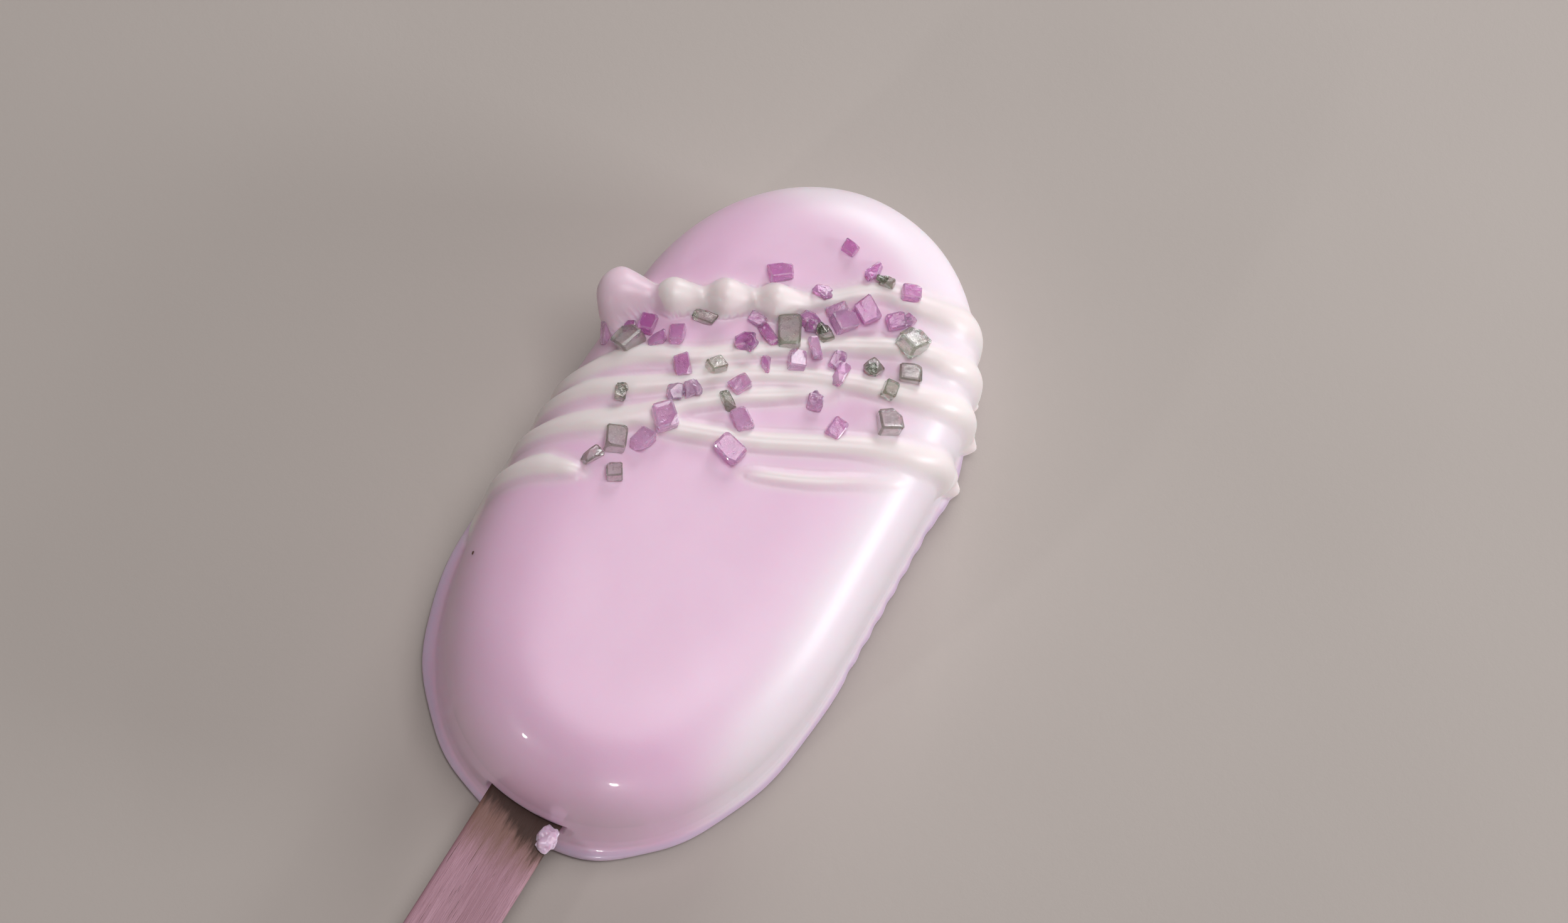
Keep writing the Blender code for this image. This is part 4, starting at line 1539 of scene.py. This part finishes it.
@dataclass
class CrystalSet:
    """Unit crystals of each habit, each in a few versions."""

    versions: int = 4
    seed: int = 5
    bevel: Range = (0.07, 0.11)
    sliver_end: float = 0.3
    sliver_widths: Range = (0.45, 0.9)
    sliver_heights: Range = (0.5, 0.9)
    well: tuple[float, float] = (0.16, -0.03)
    grown_turn: Range = (0.4, 1.2)
    grown_place: Triple = (0.34, 0.25, 0.16)
    grown_size: Range = (0.55, 0.75)
    corner_reach: Range = (0.6, 1.0)
    chip_depth: Range = (0.08, 0.2)
    square_from: float = 0.93
    edge_lengths: Triple = (0.4, 0.2, 0.12)
    waves: tuple[Wave, ...] = (Wave(1.0, 4.0), Wave(0.5, 13.0))
    noise_reach: float = 50.0
    collection: bpy.types.Collection | None = None

    def build(self) -> "CrystalSet":
        """Make the crystals in a collection of their own, named in order.

        Returns:
            The set itself.
        """
        self.collection = bpy.data.collections.new("crystals")
        bpy.context.scene.collection.children.link(self.collection)
        chance = random.Random(self.seed)
        for habit in Crystal:
            for version in range(self.versions):
                mesh = self.crystal(habit, chance)
                item = bpy.data.objects.new(f"crystal_{habit.value:02d}_{version:02d}", mesh)
                self.collection.objects.link(item)
        return self

    def pick(self, habit: Crystal, chance: random.Random) -> int:
        """Return the number of one of a habit's versions."""
        return habit.value * self.versions + chance.randrange(self.versions)

    def crystal(self, habit: Crystal, chance: random.Random) -> Mesh:
        """Make one crystal, a unit across.

        Args:
            habit: Its habit.
            chance: Where its unevenness comes from.

        Returns:
            A closed mesh whose faces say in the attribute edge whether they are worn edges.
        """
        bm = bmesh.new()
        self.add_block(bm, habit, chance)
        if habit is Crystal.LUMP:
            self.add_grown(bm, chance)
        self.fit_unit(bm)
        self.roughen(bm, chance, CUTS[habit].rough)
        return mesh_from(bm, f"crystal_{habit.name.lower()}")

    def add_grown(self, bm: bmesh.types.BMesh, chance: random.Random) -> None:
        """Let a second, smaller block stick out of a lump.

        Args:
            bm: The lump.
            chance: Where its unevenness comes from.
        """
        grown = bmesh.new()
        self.add_block(grown, Crystal.LUMP, chance)
        angle = chance.uniform(*self.grown_turn)
        turn = Matrix.Rotation(angle, 4, Vector([chance.uniform(-1, 1) for _ in range(3)]))
        aside, ahead, above = self.grown_place
        place = Vector((chance.choice((-1, 1)) * aside, chance.uniform(-ahead, ahead), above))
        grown.transform(Matrix.Translation(place) @ turn @ Matrix.Scale(chance.uniform(*self.grown_size), 4))
        part = mesh_from(grown, "grown")
        bm.from_mesh(part)
        bpy.data.meshes.remove(part)

    def add_block(self, bm: bmesh.types.BMesh, habit: Crystal, chance: random.Random) -> None:
        """Cut one block of sugar.

        Args:
            bm: An empty mesh that it goes into.
            habit: Its habit.
            chance: Where its unevenness comes from.
        """
        bmesh.ops.create_cube(bm, size=1.0)
        cut = CUTS[habit]
        for vertex in bm.verts:
            vertex.co += Vector([chance.uniform(-cut.crooked, cut.crooked) for _ in range(3)])
            if habit is Crystal.SLIVER and abs(vertex.co.x) > self.sliver_end:
                vertex.co.y *= chance.uniform(*self.sliver_widths)
                vertex.co.z *= chance.uniform(*self.sliver_heights)
        bmesh.ops.bevel(bm, geom=bm.edges[:], offset=chance.uniform(*self.bevel), segments=1, affect="EDGES",
                        clamp_overlap=True)
        for _ in range(cut.chips):
            self.chip(bm, chance)
        if habit is Crystal.PLATE:
            top = max(bm.faces, key=lambda face: face.calc_center_median().z)
            bmesh.ops.inset_individual(bm, faces=[top], thickness=self.well[0], depth=self.well[1])

    @staticmethod
    def fit_unit(bm: bmesh.types.BMesh) -> None:
        """Make a crystal exactly one unit long, wide and high.

        Args:
            bm: The crystal.
        """
        for axis in range(3):
            values = [vertex.co[axis] for vertex in bm.verts]
            low, high = min(values), max(values)
            for vertex in bm.verts:
                vertex.co[axis] = (vertex.co[axis] - low) / (high - low) - 0.5

    def chip(self, bm: bmesh.types.BMesh, chance: random.Random) -> None:
        """Break a corner off.

        Args:
            bm: The crystal.
            chance: Which corner, and how much.
        """
        corner = Vector([chance.choice((-1, 1)) * chance.uniform(*self.corner_reach) for _ in range(3)])
        facing = corner.normalized()
        reach = max(vertex.co.dot(facing) for vertex in bm.verts)
        place = facing * (reach - chance.uniform(*self.chip_depth))
        cut = bmesh.ops.bisect_plane(bm, geom=bm.verts[:] + bm.edges[:] + bm.faces[:], plane_co=place,
                                     plane_no=facing, clear_outer=True)
        edges = [part for part in cut["geom_cut"] if isinstance(part, bmesh.types.BMEdge)]
        bmesh.ops.contextual_create(bm, geom=edges)

    def roughen(self, bm: bmesh.types.BMesh, chance: random.Random, depth: float) -> None:
        """Mark the worn edges, then give every face a fine uneven surface.

        Args:
            bm: The crystal.
            chance: Which part of the noise it uses.
            depth: How deep the unevenness is.
        """
        layer = bm.faces.layers.float.new("edge")
        bm.normal_update()
        for face in bm.faces:
            squareness = max(abs(value) for value in face.normal)
            face[layer] = 1.0 if squareness < self.square_from else 0.0
        bmesh.ops.triangulate(bm, faces=bm.faces)
        for longest in self.edge_lengths:
            long_edges = [edge for edge in bm.edges if edge.calc_length() > longest]
            bmesh.ops.subdivide_edges(bm, edges=long_edges, cuts=1, use_grid_fill=True)
            bmesh.ops.triangulate(bm, faces=bm.faces)
        start = Vector([chance.uniform(-self.noise_reach, self.noise_reach) for _ in range(3)])
        bm.normal_update()
        for vertex in bm.verts:
            vertex.co += vertex.normal * sum(wave.at(vertex.co, start) for wave in self.waves) * depth


@dataclass(frozen=True)
class SugarGrains:
    """All the grains of one colour, joined."""

    name: str
    grains: tuple[Grain, ...]
    seed: int
    flatness: float = 0.74
    flatness_spread: Range = (0.9, 1.1)
    bedding: float = 0.8
    lean: float = 13.0
    sink: float = 0.16

    def seats(self, form: BodyForm, ground: BVHTree, crystals: CrystalSet) -> Item:
        """Find where each grain lies on the icing.

        Args:
            form: The body's form.
            ground: The finished skin.
            crystals: The crystals to choose from.

        Returns:
            An object whose points carry shape, turn and size.
        """
        chance = random.Random(self.seed)
        plan = np.array([grain[:2] for grain in self.grains])
        directions = form.outward(plan)
        starts = (form.lay(plan) + directions * form.depth) * MM
        places, turns, sizes, shapes = [], [], [], []
        for grain, start, outward in zip(self.grains, starts, directions):
            length, width, turn, habit = grain[2:]
            height = min(length, width) * self.flatness * chance.uniform(*self.flatness_spread)
            facing = Vector(outward)
            hit, normal = ground.ray_cast(Vector(start), -facing)[:2]
            facing = (facing + normal * self.bedding).normalized()
            tilt = [math.radians(chance.uniform(-self.lean, self.lean)) for _ in range(2)]
            matrix = (Vector((0, 0, 1)).rotation_difference(facing).to_matrix()
                      @ Matrix.Rotation(tilt[0], 3, "X") @ Matrix.Rotation(tilt[1], 3, "Y")
                      @ Matrix.Rotation(math.radians(turn), 3, "Z"))
            places.append(hit + facing * height * (0.5 - self.sink) * MM)
            turns.append(tuple(matrix.to_euler()))
            sizes.append((length * MM, width * MM, height * MM))
            shapes.append(crystals.pick(habit, chance))
        mesh = bpy.data.meshes.new(self.name)
        mesh.from_pydata(places, [], [])
        keep_values(mesh, "turn", "FLOAT_VECTOR", turns)
        keep_values(mesh, "size", "FLOAT_VECTOR", sizes)
        keep_values(mesh, "shape", "INT", shapes)
        return add_object(self.name, mesh)

    def build(self, form: BodyForm, ground: BVHTree, crystals: CrystalSet, tree: Graph,
              finish: Material) -> Item:
        """Make the finished piece.

        Args:
            form: The body's form.
            ground: The finished skin.
            crystals: The crystals to choose from.
            tree: The tree that places them.
            finish: The sugar's material.

        Returns:
            The piece with all the grains.
        """
        item = self.seats(form, ground, crystals)
        attach_tree(item, tree, {"Crystals": crystals.collection, "Seed": self.seed, "Finish": finish})
        return stand_for(item, CadNode.CAKE)


# Grains as laid: plan x and y, length, width, the turn of the length from +X in degrees, and habit
BLOCK, PLATE, SLIVER, LUMP = Crystal
PURPLE_GRAINS: tuple[Grain, ...] = (
    (-1.8, 33.0, 2.0, 1.6, -5, BLOCK), (-7.4, 25.4, 3.2, 2.0, 39, BLOCK), (2.3, 32.0, 3.2, 1.7, 68, SLIVER),
    (7.6, 31.6, 2.5, 2.0, 26, BLOCK), (-1.6, 25.7, 2.6, 1.8, -5, LUMP), (0.8, 25.1, 2.8, 1.6, 56, SLIVER),
    (2.5, 24.1, 3.1, 2.6, 55, BLOCK), (4.2, 26.8, 3.2, 2.6, -28, BLOCK), (7.9, 27.7, 2.5, 2.1, 46, BLOCK),
    (9.1, 28.7, 2.0, 1.6, 80, LUMP), (8.6, 11.5, 2.7, 2.0, 86, BLOCK), (4.6, 13.2, 2.6, 2.0, 110, LUMP),
    (4.3, 19.3, 2.6, 1.8, 90, LUMP), (5.6, 17.6, 3.2, 1.7, 95, SLIVER), (1.2, 19.0, 3.0, 1.6, -45, SLIVER),
    (-1.1, 21.6, 2.9, 2.2, -20, LUMP), (0.2, 16.3, 2.9, 2.2, 118, BLOCK), (-6.7, 18.5, 2.2, 1.5, 0, BLOCK),
    (-4.4, 17.5, 3.5, 1.7, -30, SLIVER), (-6.1, 14.8, 3.0, 2.4, 20, LUMP),
    (-2.8, 13.8, 2.4, 1.2, 120, SLIVER), (-13.9, 11.5, 2.6, 1.9, 115, BLOCK),
    (-15.6, 9.7, 2.7, 1.5, 50, SLIVER), (-17.7, 11.1, 2.6, 2.1, 105, BLOCK),
    (-19.3, 9.9, 1.8, 1.5, 120, BLOCK), (-21.5, 8.9, 3.4, 1.5, 110, SLIVER),
    (-11.4, 8.4, 2.7, 2.0, -47, BLOCK), (-10.2, 4.7, 2.2, 2.1, 26, LUMP), (-8.7, 6.0, 2.3, 2.2, 50, LUMP),
    (-4.1, 9.8, 2.6, 2.0, 66, BLOCK), (-1.7, 6.2, 2.9, 2.2, -34, BLOCK), (-9.7, 1.1, 3.4, 2.9, -44, PLATE),
    (-10.5, -2.6, 3.0, 2.2, 81, BLOCK), (-1.1, 2.2, 3.7, 2.7, -13, BLOCK),
)
GREEN_GRAINS: tuple[Grain, ...] = (
    (4.2, 31.4, 2.5, 1.7, 10, LUMP), (10.9, 26.0, 3.4, 3.2, 67, PLATE), (12.7, 22.7, 2.9, 2.3, 26, PLATE),
    (8.5, 20.9, 2.4, 2.2, 71, LUMP), (11.6, 19.2, 2.3, 1.8, 100, BLOCK), (13.6, 15.8, 3.0, 2.9, 36, PLATE),
    (1.2, 21.3, 2.8, 1.9, -30, LUMP), (-2.5, 19.1, 4.4, 3.0, 118, BLOCK),
    (-12.3, 15.3, 3.1, 1.6, 10, SLIVER), (-18.5, 8.2, 3.4, 2.9, 73, PLATE),
    (-7.8, 10.3, 2.3, 2.0, 56, BLOCK), (-4.4, 7.3, 2.9, 1.4, -29, SLIVER),
    (-15.8, 1.5, 2.2, 1.6, 110, LUMP), (-13.3, -4.2, 3.2, 2.7, 116, BLOCK),
    (-14.7, -7.4, 2.9, 1.7, 66, SLIVER), (-11.3, -7.9, 2.1, 2.0, 121, BLOCK),
)


@dataclass(frozen=True)
class Stick:
    """The flat wooden stick with its half-round ends, partly inside the cake."""

    length: float = 114.0
    width: float = 10.0
    thick: float = 2.0
    top_y: float = 1.5
    middle_z: float = 6.0
    edge_round: float = 0.45
    edge_steps: int = 4
    end_steps: int = 36
    run_step: float = 0.8
    face_steps: int = 12
    seam: float = 0.01
    weld: float = 0.03
    furrows: Triple = (900.0, 40.0, 900.0)
    furrow_depth: float = 0.04

    def outline(self, inset: float) -> np.ndarray:
        """Walk round the flat outline at an inset.

        Args:
            inset: How far in from the stick's edge.

        Returns:
            Plan points, anticlockwise, with some all along the sides.
        """
        radius = self.width / 2 - inset
        reach = self.length / 2 - self.width / 2
        turn = np.linspace(0, math.pi, self.end_steps + 1)
        cap = np.column_stack([radius * np.cos(turn), radius * np.sin(turn) + reach])
        run = np.arange(1, int(2 * reach / self.run_step)) * self.run_step
        left = np.column_stack([np.full(len(run), -radius), reach - run])
        return np.vstack([cap, left, -cap, -left])

    def rows(self) -> list[tuple[float, float]]:
        """Find the rows from the middle of the underside round the edge to the middle of the top.

        Returns:
            Each row's inset and height.
        """
        half = self.thick / 2
        across = np.linspace(self.width / 2 - self.seam, self.edge_round, self.face_steps)[:-1]
        quarter = np.linspace(0, math.pi / 2, self.edge_steps + 1)
        rounded = [(self.edge_round * (1 - math.sin(angle)), self.edge_round * (1 - math.cos(angle)) - half)
                   for angle in quarter]
        low = [(inset, -half) for inset in across] + rounded
        return low + [(inset, -height) for inset, height in reversed(low)]

    def build(self, finish: Material) -> Item:
        """Make the finished piece.

        Args:
            finish: The wood.

        Returns:
            The stick piece.
        """
        rings = []
        for inset, height in self.rows():
            flat = self.outline(inset)
            rings.append(np.column_stack([flat, np.full(len(flat), height)]))
        points = np.vstack(rings) + np.array([0.0, self.top_y - self.length / 2, self.middle_z])
        mesh = bpy.data.meshes.new("wooden_stick")
        mesh.from_pydata((points * MM).tolist(), [], ring_faces(len(rings[0]), len(rings)))
        bm = bmesh.new()
        bm.from_mesh(mesh)
        bmesh.ops.remove_doubles(bm, verts=bm.verts, dist=self.weld * MM)
        bmesh.ops.holes_fill(bm, edges=bm.edges, sides=0)
        bmesh.ops.recalc_face_normals(bm, faces=bm.faces)
        self.raise_fibres(bm)
        bm.to_mesh(mesh)
        bm.free()
        mesh.shade_smooth()
        return stand_for(add_object("wooden_stick", mesh, finish), CadNode.STICK)

    def raise_fibres(self, bm: bmesh.types.BMesh) -> None:
        """Give the wood the shallow furrows that run along a cut veneer.

        Args:
            bm: The stick's mesh.
        """
        for vertex in bm.verts:
            place = Vector([value * scale for value, scale in zip(vertex.co, self.furrows)])
            vertex.co += vertex.normal * (noise.noise(place) - 0.5) * self.furrow_depth * MM


@dataclass(frozen=True)
class Smear:
    """The lump of coating on the stick's right edge where it leaves the cake."""

    middle: Triple = (4.35, -46.7, 7.3)
    radii: Triple = (1.3, 1.6, 0.85)
    waves: tuple[Wave, ...] = (Wave(0.34, 1.5, (3.0, 8.0, 1.0)), Wave(0.119, 3.4))
    divisions: int = 5
    ivory: float = 0.1
    rim: float = 0.75

    def build(self, finish: Material) -> Item:
        """Make the finished piece.

        Args:
            finish: The icing's material.

        Returns:
            The smear piece.
        """
        place = Matrix.Translation(self.middle)
        mesh = lump_mesh("icing_smear", self.radii, self.waves, self.divisions, place)
        for name, share in (("ivory", self.ivory), ("rim", self.rim)):
            keep_values(mesh, name, "FLOAT", np.full(len(mesh.vertices), share))
        return stand_for(add_object("icing_smear", mesh, finish), CadNode.CAKE)


@dataclass(frozen=True)
class Speck:
    """The tiny dark crumb on the cake's left shoulder."""

    plan: tuple[float, float] = (-21.0, -23.8)
    radii: Triple = (0.26, 0.2, 0.12)
    waves: tuple[Wave, ...] = (Wave(0.4, 1.6, (5.0, 2.0, 9.0)),)
    divisions: int = 3

    def build(self, form: BodyForm, finish: Material) -> Item:
        """Make the finished piece.

        Args:
            form: The body's form.
            finish: The crumb's material.

        Returns:
            The crumb, half sunk in the coating.
        """
        plan = np.array([self.plan])
        turn = Vector(form.outward(plan)[0]).to_track_quat("Z", "Y").to_matrix().to_4x4()
        place = Matrix.Translation(form.lay(plan)[0]) @ turn
        mesh = lump_mesh("dark_speck", self.radii, self.waves, self.divisions, place)
        return stand_for(add_object("dark_speck", mesh, finish), CadNode.CAKE)


@dataclass(frozen=True)
class Lamp:
    """A soft rectangular lamp: direction from the cake, distance and size in metres, watts and colour."""

    name: str
    azimuth: float
    elevation: float
    distance: float
    size: float
    watts: float
    colour: Triple = (1.0, 1.0, 1.0)
    aim_height: float = 0.012

    def build(self) -> None:
        """Hang the lamp so that it faces the cake."""
        data = bpy.data.lights.new(self.name, "AREA")
        data.size = self.size
        data.energy = self.watts
        data.color = self.colour
        item = bpy.data.objects.new(self.name, data)
        bpy.context.scene.collection.objects.link(item)
        azimuth, elevation = math.radians(self.azimuth), math.radians(self.elevation)
        flat = math.cos(elevation)
        out = Vector((math.cos(azimuth) * flat, math.sin(azimuth) * flat, math.sin(elevation)))
        item.location = out * self.distance + Vector((0, 0, self.aim_height))
        item.rotation_euler = out.to_track_quat("Z", "Y").to_euler()


@dataclass(frozen=True)
class Studio:
    """The plain floor, the soft light and the camera."""

    floor_size: float = 3.0
    floor_cells: int = 8
    floor_gap: float = 0.05
    world_tone: Colour = (1.0, 0.76, 0.54, 1.0)
    world_strength: float = 0.03
    lens: float = 85.0
    sensor: float = 36.0
    nearest: float = 0.01
    camera_turns: Triple = (-20.0, -3.0, -31.0)
    camera_offset: Triple = (-8.4, -4.7, -458.7)
    aim_height: float = 12.0
    lamps: tuple[Lamp, ...] = (
        Lamp("side_panel", 22.0, 13.0, 0.62, 0.22, 2.0, (0.95, 0.98, 1.0)),
        Lamp("back_panel", 98.0, 26.0, 0.60, 0.24, 1.45, (0.97, 0.98, 1.0)),
        Lamp("overhead", 40.0, 86.0, 0.80, 0.44, 3.8, (0.96, 0.95, 0.96)),
        Lamp("low_spark", -108.0, 19.0, 0.50, 0.022, 0.25),
        Lamp("edge_spark", -58.0, 3.0, 0.50, 0.03, 0.3),
    )

    def build(self, effects: Effects) -> None:
        """Set up the studio.

        Args:
            effects: The shared shader groups.
        """
        bpy.context.scene.view_settings.view_transform = "Standard"
        self.build_floor(effects)
        self.build_world()
        for lamp in self.lamps:
            lamp.build()
        self.build_camera()

    def build_floor(self, effects: Effects) -> None:
        """Lay the floor just under the cake.

        Args:
            effects: The shared shader groups.
        """
        bm = bmesh.new()
        size = self.floor_size / 2
        bmesh.ops.create_grid(bm, x_segments=self.floor_cells, y_segments=self.floor_cells, size=size)
        mesh = mesh_from(bm, "floor")
        mesh.transform(Matrix.Translation((0, 0, -self.floor_gap * MM)))
        add_object("floor", mesh, FLOOR.material(effects))

    def build_world(self) -> None:
        """Fill the room with even soft light."""
        world = bpy.data.worlds.new("studio")
        bpy.context.scene.world = world
        world.use_nodes = True
        background = world.node_tree.nodes["Background"]
        background.inputs["Color"].default_value = self.world_tone
        background.inputs["Strength"].default_value = self.world_strength

    def build_camera(self) -> None:
        """Look down on the cake from the same side as the photograph."""
        tilt, yaw, roll = [math.radians(angle) for angle in self.camera_turns]
        turn = Matrix.Rotation(roll, 3, "Z") @ Matrix.Rotation(yaw, 3, "Y") @ Matrix.Rotation(tilt, 3, "X")
        place = Vector((0, 0, self.aim_height)) - turn.transposed() @ Vector(self.camera_offset)
        matrix = turn.transposed().to_4x4()
        matrix.translation = place * MM
        data = bpy.data.cameras.new("camera")
        data.lens = self.lens
        data.sensor_width = self.sensor
        data.clip_start = self.nearest
        camera = bpy.data.objects.new("camera", data)
        bpy.context.scene.collection.objects.link(camera)
        camera.matrix_world = matrix
        bpy.context.scene.camera = camera


def main() -> None:
    """Build every piece in order and report it."""
    logging.basicConfig(level=logging.INFO, format="%(message)s")
    effects = Effects()
    form = BodyForm()
    icing = IcingFinish().material(effects)
    coating = CoatedCake(form).build(Drizzle(form), icing)
    report(coating)
    ground = BVHTree.FromObject(coating, bpy.context.evaluated_depsgraph_get())
    crystals = CrystalSet().build()
    tree = SugarTree().build()
    for name, grains, seed, sugar in (("purple_grains", PURPLE_GRAINS, 3, PURPLE_SUGAR),
                                      ("green_grains", GREEN_GRAINS, 4, GREEN_SUGAR)):
        finish = sugar.material(effects)
        report(SugarGrains(name, grains, seed).build(form, ground, crystals, tree, finish))
    scrap(list(crystals.collection.objects))
    bpy.data.collections.remove(crystals.collection)
    report(Smear().build(icing))
    report(Speck().build(form, CRUMB.material(effects)))
    report(Stick().build(WoodFinish().material(effects)))
    Studio().build(effects)


if __name__ == "__main__":
    main()
